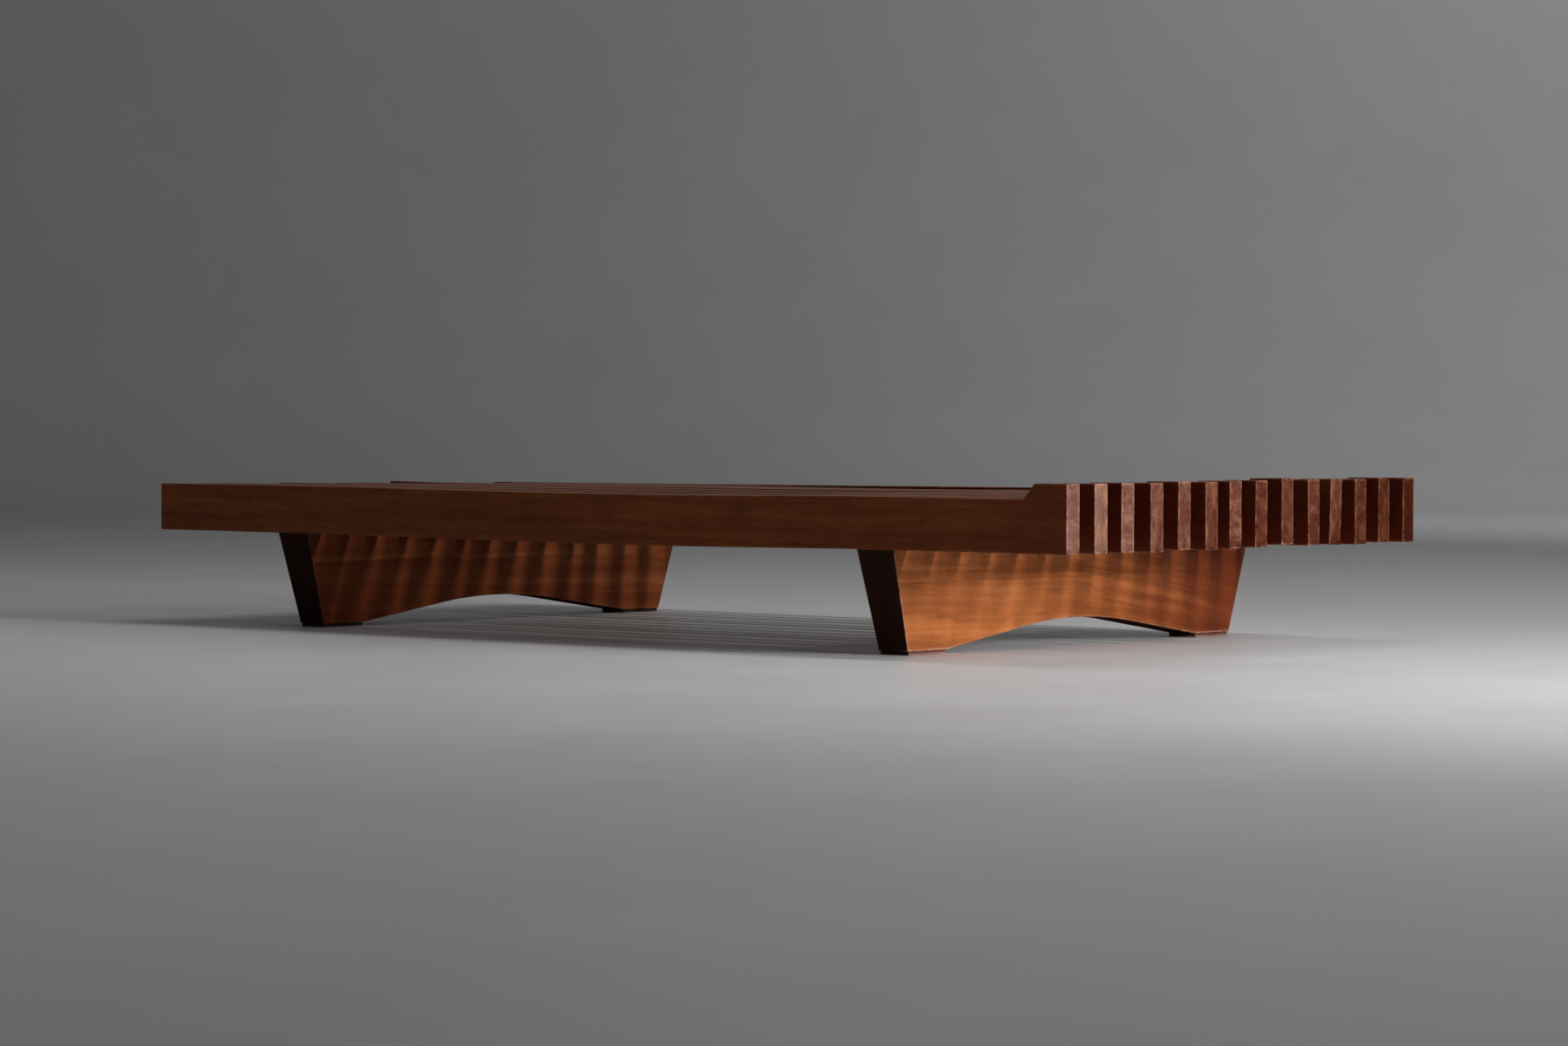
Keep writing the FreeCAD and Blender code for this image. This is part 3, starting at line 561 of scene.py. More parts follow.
def make_leg_board(node, xc, arched, seed):
    r = 1.1 * MM
    end_r = 0.6 * MM
    rows = 7 if arched else 4
    z1 = JOINT if arched else SEAT
    step = 0.009
    half_mid = end_y(z1)
    s_list = list(np.arange(-half_mid + 0.008, half_mid - 0.008, step))
    for e in (0.0, 0.00025, 0.0009, 0.0022, 0.0032, 0.006):
        s_list += [-half_mid + e, half_mid - e]
    if arched:
        scale = end_y(BASE) / half_mid
        for c in (FOOT_Y, -FOOT_Y):
            s_list += [c / scale + q for q in (-0.003, -0.001, 0.0, 0.001, 0.003)]
    s_list = np.array(sorted(s_list))
    keep = [0]
    for i in range(1, len(s_list)):
        if s_list[i] - s_list[keep[-1]] > 0.0002:
            keep.append(i)
    keep[-1] = len(s_list) - 1
    s_list = s_list[keep]

    nick = [np.maximum(0, noise1(s_list, 0.05, seed * 9 + c, 3) - 0.32) for c in range(2)]
    r_low = r if arched else 0.14 * MM
    r_high = 0.14 * MM if arched else 0.9 * MM
    n = len(leg_ring(BASE, z1, 0.0, 0.0, 0.0, r_low, r_high, rows))

    def section(i, amount):
        s = s_list[i]
        share = s / half_mid
        d = min(s + half_mid, half_mid - s)
        round_off = float(inset_at(d, end_r))
        inset = round_off + amount
        # the glued edges stay full up to the end, so no groove shows there
        low = inset if arched else amount
        high = amount if arched else inset
        z0 = JOINT
        if arched:
            # the station leans with the board's ends, so its foot is found by iteration
            z0 = BASE
            for _ in range(20):
                z0 = float(arch_z(share * end_y(z0)))
        pts = leg_ring(z0, z1, inset, low, high, max(r_low - amount, 0.12 * MM), r_high, rows)
        x, z, k = pts[:, 0].copy(), pts[:, 1].copy(), pts[:, 2].copy()
        y = share * np.array([end_y(q) for q in z])
        cut = np.zeros(n)
        if arched and amount == 0:
            cut[0:4] = nick[0][i] * 0.3 * MM
            cut[7:11] = nick[1][i] * 0.3 * MM
        x += np.where(x < 0, 1, -1) * cut * 0.7
        z += cut * 0.7
        side = (np.abs(x) > 0.022) & (k < 0.9)
        wob = noise2(y, z, 0.30, 0.11, 4 if xc > 0 else 6) * 0.2 * MM - 0.21 * MM
        x[side] += np.sign(x[side]) * wob[side]
        if not arched:
            k = k * 0.0
        # the upright arrises at the ends are pale from wear and from a painted highlight where the
        # light catches them: the lit outer one of the head-end leg is the palest
        reach = np.where(x > 0.02, 1.0 if xc > 0 else 0.40, 0.35)
        # painted highlight as well as wear: the bottom arris of the lit head-end leg is painted
        # paler than the shaded foot-end leg's
        foot = 0.8 if arched and z0 < 0.012 else 0.5
        worn = k * (0.3 if d < 0.001 else foot if xc > 0 else 0.25) + cut / MM * 0.7
        worn = np.maximum(worn, reach * math.exp(-d / 0.0020))
        if amount > 0:
            worn = np.full(n, 0.5 * math.exp(-amount / 0.0012))
        # the two boards meet in a thin dark glue line
        joint = np.abs(z - JOINT) < 0.4 * MM
        if joint.any():
            # at the ends it stops short of the rubbed arris
            skin = np.abs(x) > np.abs(x[joint]).max() - 0.03 * MM
            worn = np.where(joint & ((d > 0.0025) | ~skin), -1.0, worn)
        if not arched:
            worn = np.where(np.abs(z - SEAT) < 2.5 * MM, np.minimum(worn, 0.0), worn)
        z = z + settle(xc + x, y) * z / SEAT
        return np.stack([xc + x, y, z], 1), worn

    co, wear, ends = [], [], []
    for i, s in enumerate(s_list):
        ring, worn = section(i, 0.0)
        d = min(s + half_mid, half_mid - s)
        co.append(ring)
        wear.append(worn)
        end_and_shade_here = np.full(n, 1.0 if d < end_r * 0.4 else 0.0)
        if arched:
            # painted shade: the underside of the curve faces the floor and is painted nearly black
            # with the cut-end colour
            end_and_shade_here[2:9] = np.maximum(end_and_shade_here[2:9], (0.5, 1.0, 1.0, 1.0, 1.0, 1.0, 0.5))
        ends.append(end_and_shade_here)
    faces = fill_faces(len(s_list), n)
    caps_from = len(faces)
    close_ends(co, wear, ends, faces, n, len(s_list), section, (0.0025, 0.007, 0.014))
    co, wear, ends = np.concatenate(co), np.concatenate(wear), np.concatenate(ends)

    # grain runs across the bed; the log's heart lies below or above the board
    rand = rng(4000 + seed)
    gx = co[:, 1] + seed * 5.3
    lean = {1: 0.02, 2: 0.015, 3: -0.02, 4: 0.03}[seed]
    rise = co[:, 2] - 0.06 + lean * co[:, 1]
    # the grain dips towards one end of the head-end leg
    if xc > 0:
        rise = rise + 0.17 * np.maximum(co[:, 1] + 0.04, 0) ** 1.35
    heart = np.array([rand.uniform(-0.05, 0.05), rand.uniform(-0.4, -0.2)])
    gy = (co[:, 0] - xc) - heart[0]
    gz = rise - heart[1]
    grain = np.stack([gx, gy, gz], 1)
    board = build(
        node + "_wood",
        co,
        faces,
        {
            "grain": ("FLOAT_VECTOR", grain),
            "wear": ("FLOAT", np.clip(wear, -1, 1)),
            "cut_end_and_shade": ("FLOAT", ends),
            "tone_and_shade": ("FLOAT", leg_tone_and_shade(co, seed)),
            "haze_and_sheen": ("FLOAT", np.zeros(len(co))),
            "rust": ("FLOAT", np.zeros(len(co))),
            "amber": ("FLOAT", np.zeros(len(co))),
            "dust_and_sheen": ("FLOAT", np.zeros(len(co))),
            "knot": ("FLOAT_VECTOR", co - np.array(KNOTS.get(seed, (9.0, 9.0, 9.0)))),
        },
        caps_from,
    )
    if arched:
        # the sawn underside is dull
        index = np.zeros(len(faces), np.int32)
        index[caps_from:] = 1
        place = np.arange(len(faces)) % n
        index[(place >= 3) & (place < 7) & (np.arange(len(faces)) < caps_from)] = 2
        board.data.polygons.foreach_set("material_index", index)
    return board


# ---------------------------------------------------------------------------
# Foot pads
# ---------------------------------------------------------------------------


def make_pad(node, seed):
    lo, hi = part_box(node)
    xc, yc = (lo.x + hi.x) / 2, (lo.y + hi.y) / 2
    hx, hy = (hi.x - lo.x) / 2, (hi.y - lo.y) / 2
    corner = 0.003
    plan = []
    for cx, cy, a0 in ((1, 1, 0), (-1, 1, 90), (-1, -1, 180), (1, -1, 270)):
        for k in range(5):
            a = math.radians(a0 + 22.5 * k)
            plan.append(
                (
                    cx * (hx - corner) + corner * math.cos(a),
                    cy * (hy - corner) + corner * math.sin(a),
                )
            )
        # points along the side that follows
        nxt = {(1, 1): (-1, 1), (-1, 1): (-1, -1), (-1, -1): (1, -1), (1, -1): (1, 1)}[(cx, cy)]
        for q in np.linspace(0, 1, 14)[1:-1]:
            if nxt[0] != cx:
                plan.append((cx * (hx - corner) * (1 - 2 * q), cy * hy))
            else:
                plan.append((cx * hx, cy * (hy - corner) * (1 - 2 * q)))
    plan = np.array(plan)
    n = len(plan)
    side_seed = int(round(xc * 1000)) % 97 + int(yc > 0) * 13 + 5
    levels = (
        (0.0, 0.0009),
        (0.0003, 0.0003),
        (0.0009, 0.0),
        (0.0030, 0.0002),
        (0.0051, 0.0),
        (0.0057, 0.0003),
        (0.0060, 0.0010),
    )

    def section(i, amount):
        z, inset = levels[i]
        inset = inset + amount
        # cut by hand: the rim wanders inwards by fractions of a millimetre
        along = np.arange(n) / n * 0.28
        rough = (noise2(along, z, 0.02, 0.004, side_seed) + 1) * 0.0002
        sx, sy = (hx - inset - rough) / hx, (hy - inset - rough) / hy
        ring = np.stack([xc + plan[:, 0] * sx, yc + plan[:, 1] * sy, np.full(n, z)], 1)
        worn = 1.0 if i in (0, 1) else 0.35
        return ring, np.full(n, worn if amount == 0 else 0.0)

    co, wear, ends = [], [], []
    for i in range(len(levels)):
        ring, worn = section(i, 0.0)
        co.append(ring)
        wear.append(worn)
        ends.append(np.zeros(n))
    faces = fill_faces(len(levels), n)
    close_ends(co, wear, ends, faces, n, len(levels), section, (0.004, 0.012))
    co, wear = np.concatenate(co), np.concatenate(wear)
    grain = co + np.array([seed * 1.3, 0, 0])
    # painted shade: the outward ends of the pads, and the foot-end pads all round, are painted
    # darker, as they lie in shade
    outward = np.sign(yc) * (co[:, 1] - yc) > hy - 0.0022
    pad_shade = np.where(outward, 0.90, 0.12) if xc > 0 else np.full(len(co), 0.88)
    return build(
        node + "_glide",
        co,
        faces,
        {
            "grain": ("FLOAT_VECTOR", grain),
            "wear": ("FLOAT", np.clip(wear, 0, 1)),
            "pad_shade": ("FLOAT", pad_shade),
        },
    )


# ---------------------------------------------------------------------------
# Materials
# ---------------------------------------------------------------------------


class Net:
    """A short way to write node trees."""

    def __init__(self, name):
        self.mat = bpy.data.materials.new(name)
        self.mat.use_nodes = True
        self.tree = self.mat.node_tree
        self.tree.nodes.clear()
        self.out = self.tree.nodes.new("ShaderNodeOutputMaterial")
        self.bsdf = self.tree.nodes.new("ShaderNodeBsdfPrincipled")
        self.link(self.bsdf.outputs[0], self.out.inputs["Surface"])

    def link(self, a, b):
        self.tree.links.new(a, b)

    def put(self, socket, value):
        if isinstance(value, bpy.types.NodeSocket):
            self.link(value, socket)
        else:
            socket.default_value = value

    def attr(self, name, out="Fac"):
        n = self.tree.nodes.new("ShaderNodeAttribute")
        n.attribute_type = "GEOMETRY"
        n.attribute_name = name
        return n.outputs[out]

    def math(self, op, a, b=None, c=None, clamp=False):
        n = self.tree.nodes.new("ShaderNodeMath")
        n.operation = op
        n.use_clamp = clamp
        self.put(n.inputs[0], a)
        if b is not None:
            self.put(n.inputs[1], b)
        if c is not None:
            self.put(n.inputs[2], c)
        return n.outputs[0]

    def vec(self, op, a, b=None, scale=None):
        n = self.tree.nodes.new("ShaderNodeVectorMath")
        n.operation = op
        self.put(n.inputs[0], a)
        if b is not None:
            self.put(n.inputs[1], b)
        if scale is not None:
            self.put(n.inputs["Scale"], scale)
        return n.outputs[1] if op in ("LENGTH", "DOT_PRODUCT", "DISTANCE") else n.outputs[0]

    def split(self, v):
        n = self.tree.nodes.new("ShaderNodeSeparateXYZ")
        self.put(n.inputs[0], v)
        return n.outputs

    def join(self, x, y, z):
        n = self.tree.nodes.new("ShaderNodeCombineXYZ")
        for s, v in zip(n.inputs, (x, y, z)):
            self.put(s, v)
        return n.outputs[0]

    def noise(self, vector, scale, detail=2.0, rough=0.5, dims="3D", w=None, distortion=0.0):
        n = self.tree.nodes.new("ShaderNodeTexNoise")
        n.noise_dimensions = dims
        if vector is not None and dims != "1D":
            self.put(n.inputs["Vector"], vector)
        if w is not None:
            self.put(n.inputs["W"], w)
        n.inputs["Scale"].default_value = scale
        n.inputs["Detail"].default_value = detail
        n.inputs["Roughness"].default_value = rough
        n.inputs["Distortion"].default_value = distortion
        return n.outputs["Fac"] if "Fac" in n.outputs else n.outputs[0]

    def ramp(self, fac, stops, mode="LINEAR"):
        n = self.tree.nodes.new("ShaderNodeValToRGB")
        n.color_ramp.interpolation = mode
        els = n.color_ramp.elements
        while len(els) < len(stops):
            els.new(0.5)
        for e, (pos, col) in zip(els, stops):
            e.position = pos
            e.color = (*col, 1.0) if len(col) == 3 else col
        self.put(n.inputs[0], fac)
        return n.outputs[0]

    def map(self, value, a, b, c, d, clamp=True):
        n = self.tree.nodes.new("ShaderNodeMapRange")
        n.clamp = clamp
        self.put(n.inputs[0], value)
        for i, v in zip((1, 2, 3, 4), (a, b, c, d)):
            n.inputs[i].default_value = v
        return n.outputs[0]

    def mix(self, fac, a, b, mode="MIX"):
        n = self.tree.nodes.new("ShaderNodeMix")
        n.data_type = "RGBA"
        n.blend_type = mode
        n.clamp_result = True
        self.put(n.inputs[0], fac)
        ins = [s for s in n.inputs if s.type == "RGBA"]
        for s, v in zip(ins, (a, b)):
            self.put(s, (*v, 1.0) if isinstance(v, tuple) and len(v) == 3 else v)
        return [s for s in n.outputs if s.type == "RGBA"][0]

    def bump(self, height, strength, distance, normal=None):
        n = self.tree.nodes.new("ShaderNodeBump")
        n.inputs["Strength"].default_value = strength
        n.inputs["Distance"].default_value = distance
        self.put(n.inputs["Height"], height)
        if normal is not None:
            self.put(n.inputs["Normal"], normal)
        return n.outputs[0]


# cut ends, from the palest painted sheen down to bare dark red wood
END_STEPS = [
    (0.00, (0.026, 0.0042, 0.0014)),
    (0.20, (0.044, 0.0085, 0.0034)),
    (0.45, (0.070, 0.0185, 0.0092)),
    (0.72, (0.096, 0.0390, 0.0270)),
    (1.00, (0.138, 0.0700, 0.0520)),
]


# how strongly each layer of figure shows: the slats are straight and even, the legs are
# cut from a softer figured plank with broad bands and few open pores
SLAT_FIGURE = (0.34, 0.26, 0.52, 0.42, 0.26, 0.22, 0.22, 0.62, 0.50)
LEG_FIGURE = (0.22, 0.36, 0.30, 0.30, 0.62, 0.34, 0.24, 0.22, 0.40)


def wood(
    name, dark, mid, light, red, rough, coat, specular, end_dark_and_shade, spreading=0.26,
    figure=SLAT_FIGURE,
):
    """Close-grained reddish hardwood under a thin satin lacquer.
    The grain attribute holds each board's place in its log: x along the fibres, y and z
    across them, measured from the heart."""
    f_ring, f_wide, f_streak, f_fibre, f_ribbon, f_ripple, f_hair, f_pore, f_smoke = figure
    m = Net(name)
    g = m.attr("grain", "Vector")
    wear = m.attr("wear")
    cut = m.attr("cut_end_and_shade")
    tone_and_shade = m.attr("tone_and_shade")
    sheen_amount = m.attr("haze_and_sheen")
    gx, gy, gz = m.split(g)

    # slow waver of the fibres
    slow = m.vec("MULTIPLY", g, (1.1, 5.0, 5.0))
    wav = m.noise(slow, 1.0, 2.0, 0.5)
    wav2 = m.noise(m.vec("ADD", slow, (7.1, 3.3, 9.9)), 1.0, 2.0, 0.5)
    dy = m.math("MULTIPLY", m.math("SUBTRACT", wav, 0.5), 0.030)
    dz = m.math("MULTIPLY", m.math("SUBTRACT", wav2, 0.5), 0.030)
    # the fibres swing round a small knot
    knot = m.vec("MULTIPLY", m.attr("knot", "Vector"), (0.0, 95.0, 170.0))
    ragged = m.noise(m.vec("MULTIPLY", g, (90.0, 90.0, 160.0)), 1.0, 3.0, 0.6)
    eye = m.math("ADD", m.vec("LENGTH", knot), m.math("MULTIPLY", ragged, 1.3))
    eye = m.math("SUBTRACT", eye, 0.65)
    swing = m.math("EXPONENT", m.math("MULTIPLY", m.math("MULTIPLY", eye, eye), -0.8))
    dz = m.math("ADD", dz, m.math("MULTIPLY", swing, 0.012))
    wy = m.math("ADD", gy, dy)
    wz = m.math("ADD", gz, dz)
    warped = m.join(gx, wy, wz)

    # growth bands, by distance from the heart
    dist = m.vec("LENGTH", m.join(0.0, wy, wz))
    rings = m.noise(None, 1.0, 3.0, 0.65, "1D", w=m.math("MULTIPLY", dist, 120.0))
    wide = m.noise(None, 1.0, 2.0, 0.5, "1D", w=m.math("MULTIPLY", dist, 34.0))

    # fibres at three sizes, long along the grain and thin across it
    streak = m.noise(m.vec("MULTIPLY", warped, (3.6, 110.0, 110.0)), 1.0, 4.0, 0.6)
    fibre = m.noise(m.vec("MULTIPLY", warped, (14.0, 420.0, 420.0)), 1.0, 3.0, 0.6)
    hair = m.noise(m.vec("MULTIPLY", warped, (45.0, 1500.0, 1500.0)), 1.0, 2.0, 0.6)
    # vessels: short open pores
    pore_n = m.noise(m.vec("MULTIPLY", warped, (80.0, 1300.0, 1300.0)), 1.0, 1.0, 0.4)
    pore = m.map(pore_n, 0.63, 0.71, 0.0, 1.0)
    # interlocked grain: soft ribbons, and cross-wise figure
    ribbon = m.noise(m.vec("MULTIPLY", warped, (1.9, 42.0, 42.0)), 1.0, 1.0, 0.4)
    ripple = m.noise(m.vec("MULTIPLY", warped, (30.0, 10.0, 10.0)), 1.0, 2.0, 0.5)
    # smoky patches drawn out along the grain, and blotches left by finishing and age
    smoke = m.noise(m.vec("MULTIPLY", warped, (9.0, 62.0, 62.0)), 1.0, 3.0, 0.55)
    blotch = m.noise(m.vec("MULTIPLY", g, (4.0, 16.0, 16.0)), 1.0, 3.0, 0.6)

    # colour
    v = m.math("MULTIPLY", rings, f_ring)
    v = m.math("ADD", v, m.math("MULTIPLY", wide, f_wide))
    v = m.math("ADD", v, m.math("MULTIPLY", streak, f_streak))
    v = m.math("ADD", v, m.math("MULTIPLY", fibre, f_fibre))
    v = m.math("ADD", v, m.math("MULTIPLY", ribbon, f_ribbon))
    v = m.math("ADD", v, m.math("MULTIPLY", ripple, f_ripple))
    v = m.math("ADD", v, m.math("MULTIPLY", hair, f_hair))
    middle = sum((f_ring, f_wide, f_streak, f_fibre, f_ribbon, f_ripple, f_hair)) / 2
    v = m.map(v, middle - spreading, middle + spreading, 0.0, 1.0)
    col = m.ramp(v, [(0.0, dark), (0.5, mid), (1.0, light)])
    if figure is LEG_FIGURE:
        # broad soft bands, darker and lighter, as the plank was cut nearly along its rings
        band = m.noise(m.vec("MULTIPLY", warped, (2.6, 52.0, 52.0)), 1.0, 2.0, 0.5)
        col = m.mix(m.map(band, 0.52, 0.70, 0.0, 0.46), col, dark)
        col = m.mix(m.map(band, 0.46, 0.30, 0.0, 0.36), col, light)
    # board to board
    col = m.mix(m.map(tone_and_shade, 0.5, 1.0, 0.0, 0.75), col, light)
    col = m.mix(m.map(tone_and_shade, 0.5, 0.0, 0.0, 0.80), col, red)
    # blotches
    col = m.mix(m.map(blotch, 0.50, 0.78, 0.0, 0.30), col, dark)
    col = m.mix(m.map(smoke, 0.52, 0.74, 0.0, f_smoke), col, tuple(c * 0.9 for c in dark))
    # pores
    col = m.mix(m.math("MULTIPLY", pore, f_pore), col, tuple(c * 0.30 for c in dark))
    # the knot's dark heart and rim
    col = m.mix(m.map(eye, 0.15, 0.75, 0.34, 0.0), col, dark)
    rim = m.math("SUBTRACT", 1.0, m.math("ABSOLUTE", m.math("SUBTRACT", eye, 1.15)))
    col = m.mix(m.map(rim, 0.76, 1.0, 0.0, 0.16), col, dark)
    # dust and fading on top, with a painted grazing sheen of the grey backdrop
    grey = m.math("MULTIPLY", m.map(streak, 0.36, 0.64, 0.34, 0.66), m.attr("dust_and_sheen"))
    col = m.mix(grey, col, (0.145, 0.098, 0.068))
    # cut ends: a paler painted sheen, growth lines, darker stains and fine checks
    spot = m.noise(m.vec("MULTIPLY", g, (60.0, 70.0, 70.0)), 1.0, 4.0, 0.65)
    grit = m.noise(m.vec("MULTIPLY", g, (200.0, 330.0, 330.0)), 1.0, 3.0, 0.6)
    cell = m.noise(m.vec("MULTIPLY", g, (200.0, 1300.0, 1300.0)), 1.0, 2.0, 0.6)
    line = m.noise(None, 1.0, 2.0, 0.7, "1D", w=m.math("MULTIPLY", dist, 420.0))
    across = m.noise(m.vec("MULTIPLY", g, (3.0, 360.0, 22.0)), 1.0, 2.0, 0.5)
    deep = tuple(c * 0.42 for c in dark)
    ground = m.mix(0.97, col, tuple(c * end_dark_and_shade for c in dark))
    stain = m.noise(m.vec("MULTIPLY", g, (26.0, 52.0, 34.0)), 1.0, 5.0, 0.66, distortion=0.2)
    # painted sheen: the per-slat sheen amount lifts the end colour towards pale pink
    amount = m.math("ADD", sheen_amount, m.math("MULTIPLY", m.math("SUBTRACT", stain, 0.47), -1.15))
    amount = m.math("ADD", amount, m.math("MULTIPLY", m.math("SUBTRACT", spot, 0.5), 0.75))
    amount = m.math("ADD", amount, m.math("MULTIPLY", m.math("SUBTRACT", across, 0.5), -0.50))
    amount = m.math("ADD", amount, m.math("MULTIPLY", m.math("SUBTRACT", grit, 0.5), 0.9))
    amount = m.math("ADD", amount, m.math("MULTIPLY", m.math("SUBTRACT", line, 0.5), 0.30))
    amount = m.math("SUBTRACT", amount, m.math("MULTIPLY", m.attr("rust"), 0.5), clamp=True)
    sheen_veil = m.ramp(amount, END_STEPS)
    # amber where the saw left the surface closed
    amber = m.math("MULTIPLY", m.map(stain, 0.50, 0.36, 0.0, 1.0), m.attr("amber"), clamp=True)
    sheen_veil = m.mix(amber, sheen_veil, (0.240, 0.1050, 0.0430))
    haze_and_sheen = m.mix(m.math("MULTIPLY", sheen_amount, 12.0, clamp=True), ground, sheen_veil)
    haze_and_sheen = m.mix(m.map(cell, 0.52, 0.75, 0.0, 0.30), haze_and_sheen, deep)
    haze_and_sheen = m.mix(m.map(spot, 0.62, 0.74, 0.0, 0.34), haze_and_sheen, deep)
    haze_and_sheen = m.mix(m.map(across, 0.66, 0.74, 0.0, 0.50), haze_and_sheen, deep)
    # painted highlight: pale glinting specks where the cut ends carry painted sheen
    sheen_specks = m.math("MULTIPLY", m.map(grit, 0.66, 0.74, 0.0, 0.55), sheen_amount)
    haze_and_sheen = m.mix(sheen_specks, haze_and_sheen, (0.300, 0.205, 0.165))
    col = m.mix(cut, col, haze_and_sheen)
    # rubbed arrises: thin and broken; on the legs they also carry a painted highlight, and on the
    # slats they are paler where the cut ends carry painted sheen
    rub = m.noise(m.vec("MULTIPLY", g, (70.0, 70.0, 70.0)), 1.0, 4.0, 0.65)
    worn = m.math("MAXIMUM", wear, 0.0)
    if figure is LEG_FIGURE:
        rub_and_highlight = m.math("MULTIPLY", m.math("POWER", worn, 2.0), m.map(rub, 0.34, 0.60, 0.12, 0.85))
        edge = (0.580, 0.320, 0.225)
    else:
        rub_and_highlight = m.math("MULTIPLY", m.math("POWER", worn, 2.2), m.map(rub, 0.42, 0.66, 0.0, 0.70))
        edge = m.mix(m.math("MULTIPLY", sheen_amount, cut), light, (0.360, 0.245, 0.200))
    col = m.mix(rub_and_highlight, col, edge)
    # the glue line between two boards
    glue = m.math("MULTIPLY", wear, -1.0, clamp=True)
    col = m.mix(m.math("MULTIPLY", glue, m.map(spot, 0.40, 0.62, 0.08, 0.42)), col, deep)
    m.link(col, m.bsdf.inputs["Base Color"])

    # sheen of the lacquer: dull in pores, at cut ends and where it is rubbed
    smear = m.noise(m.vec("MULTIPLY", g, (7.0, 9.0, 9.0)), 1.0, 4.0, 0.6)
    ro = m.map(smear, 0.30, 0.72, rough - 0.06, rough + 0.10)
    ro = m.math("ADD", ro, m.math("MULTIPLY", m.math("SUBTRACT", fibre, 0.5), 0.14))
    ro = m.math("ADD", ro, m.math("MULTIPLY", pore, 0.22))
    ro = m.math("ADD", ro, m.math("MULTIPLY", cut, 0.12))
    ro = m.math("ADD", ro, m.math("MULTIPLY", rub_and_highlight, 0.10), clamp=True)
    m.link(ro, m.bsdf.inputs["Roughness"])
    m.bsdf.inputs["IOR"].default_value = 1.48
    m.bsdf.inputs["Specular IOR Level"].default_value = specular
    m.bsdf.inputs["Coat Weight"].default_value = coat
    m.bsdf.inputs["Coat Roughness"].default_value = 0.26
    m.bsdf.inputs["Coat IOR"].default_value = 1.5

    # relief
    relief = m.math("MULTIPLY", fibre, 0.55)
    relief = m.math("ADD", relief, m.math("MULTIPLY", hair, 0.30))
    relief = m.math("ADD", relief, m.math("MULTIPLY", streak, 0.35))
    relief = m.math("SUBTRACT", relief, m.math("MULTIPLY", pore, 0.9))
    relief = m.math("ADD", relief, m.math("MULTIPLY", m.math("MULTIPLY", cell, cut), 0.8))
    nrm = m.bump(relief, 0.55, 0.00012)
    nrm = m.bump(m.math("ADD", ripple, m.math("MULTIPLY", rub, 0.3)), 0.35, 0.0006, nrm)
    m.link(nrm, m.bsdf.inputs["Normal"])
    return m.mat


def dowel_wood():
    m = Net("pale_dowel_wood")
    tc = m.tree.nodes.new("ShaderNodeTexCoord")
    p = tc.outputs["Object"]
    fibre = m.noise(m.vec("MULTIPLY", p, (900.0, 900.0, 25.0)), 1.0, 3.0, 0.6)
    band = m.noise(m.vec("MULTIPLY", p, (160.0, 160.0, 8.0)), 1.0, 2.0, 0.5)
    v = m.math("ADD", m.math("MULTIPLY", fibre, 0.6), m.math("MULTIPLY", band, 0.5))
    col = m.ramp(m.map(v, 0.35, 0.8, 0, 1), [(0, (0.42, 0.27, 0.15)), (1, (0.66, 0.48, 0.30))])
    m.link(col, m.bsdf.inputs["Base Color"])
    m.link(m.map(fibre, 0.3, 0.7, 0.52, 0.70), m.bsdf.inputs["Roughness"])
    m.link(m.bump(v, 0.5, 0.0001), m.bsdf.inputs["Normal"])
    return m.mat


def pad_leather():
    m = Net("foot_glide_leather")
    g = m.attr("grain", "Vector")
    wear = m.attr("wear")
    pebble = m.noise(g, 900.0, 4.0, 0.6)
    layer = m.noise(m.vec("MULTIPLY", g, (120.0, 120.0, 1800.0)), 1.0, 3.0, 0.6)
    dirt = m.noise(g, 110.0, 4.0, 0.65)
    v = m.math("ADD", m.math("MULTIPLY", pebble, 0.5), m.math("MULTIPLY", layer, 0.5))
    col = m.ramp(
        m.map(v, 0.3, 0.7, 0, 1), [(0, (0.022, 0.0075, 0.0050)), (1, (0.085, 0.0260, 0.0170))]
    )
    col = m.mix(m.map(dirt, 0.5, 0.75, 0.0, 0.4), col, (0.10, 0.062, 0.050))
    # painted reflection: the lower part of each pad is painted pale pink, standing for the lit leg
    # reflected in the floor
    height = m.split(g)[2]
    col = m.mix(m.map(height, 0.0036, 0.0022, 0.0, 0.75), col, (0.24, 0.115, 0.085))
    col = m.mix(m.math("MULTIPLY", wear, 0.30), col, (0.28, 0.150, 0.115))
    # painted shade
    col = m.mix(m.attr("pad_shade"), col, (0.014, 0.0060, 0.0045))
    m.link(col, m.bsdf.inputs["Base Color"])
    m.link(m.map(pebble, 0.3, 0.7, 0.60, 0.85), m.bsdf.inputs["Roughness"])
    m.bsdf.inputs["Specular IOR Level"].default_value = 0.12
    m.link(m.bump(v, 0.7, 0.0003), m.bsdf.inputs["Normal"])
    return m.mat


SLAT = {
    "dark": (0.105, 0.0235, 0.0055),
    "mid": (0.195, 0.0480, 0.0100),
    "light": (0.300, 0.0870, 0.0225),
    "red": (0.078, 0.0052, 0.0042),
}
LEG = {
    "dark": (0.115, 0.0275, 0.0065),
    "mid": (0.265, 0.0760, 0.0200),
    "light": (0.430, 0.1480, 0.0450),
    "red": (0.090, 0.0105, 0.0032),
}
SLAT_WOOD = wood(
    "slat_hardwood", **SLAT, rough=0.38, coat=0.02, specular=0.14, end_dark_and_shade=0.40, spreading=0.36
)
SLAT_END = wood(
    "slat_end_grain", **SLAT, rough=0.54, coat=0.0, specular=0.04, end_dark_and_shade=0.40, spreading=0.36
)
LEG_WOOD = wood(
    "leg_hardwood", **LEG, rough=0.40, coat=0.02, specular=0.07, end_dark_and_shade=0.12,
    spreading=0.30, figure=LEG_FIGURE
)
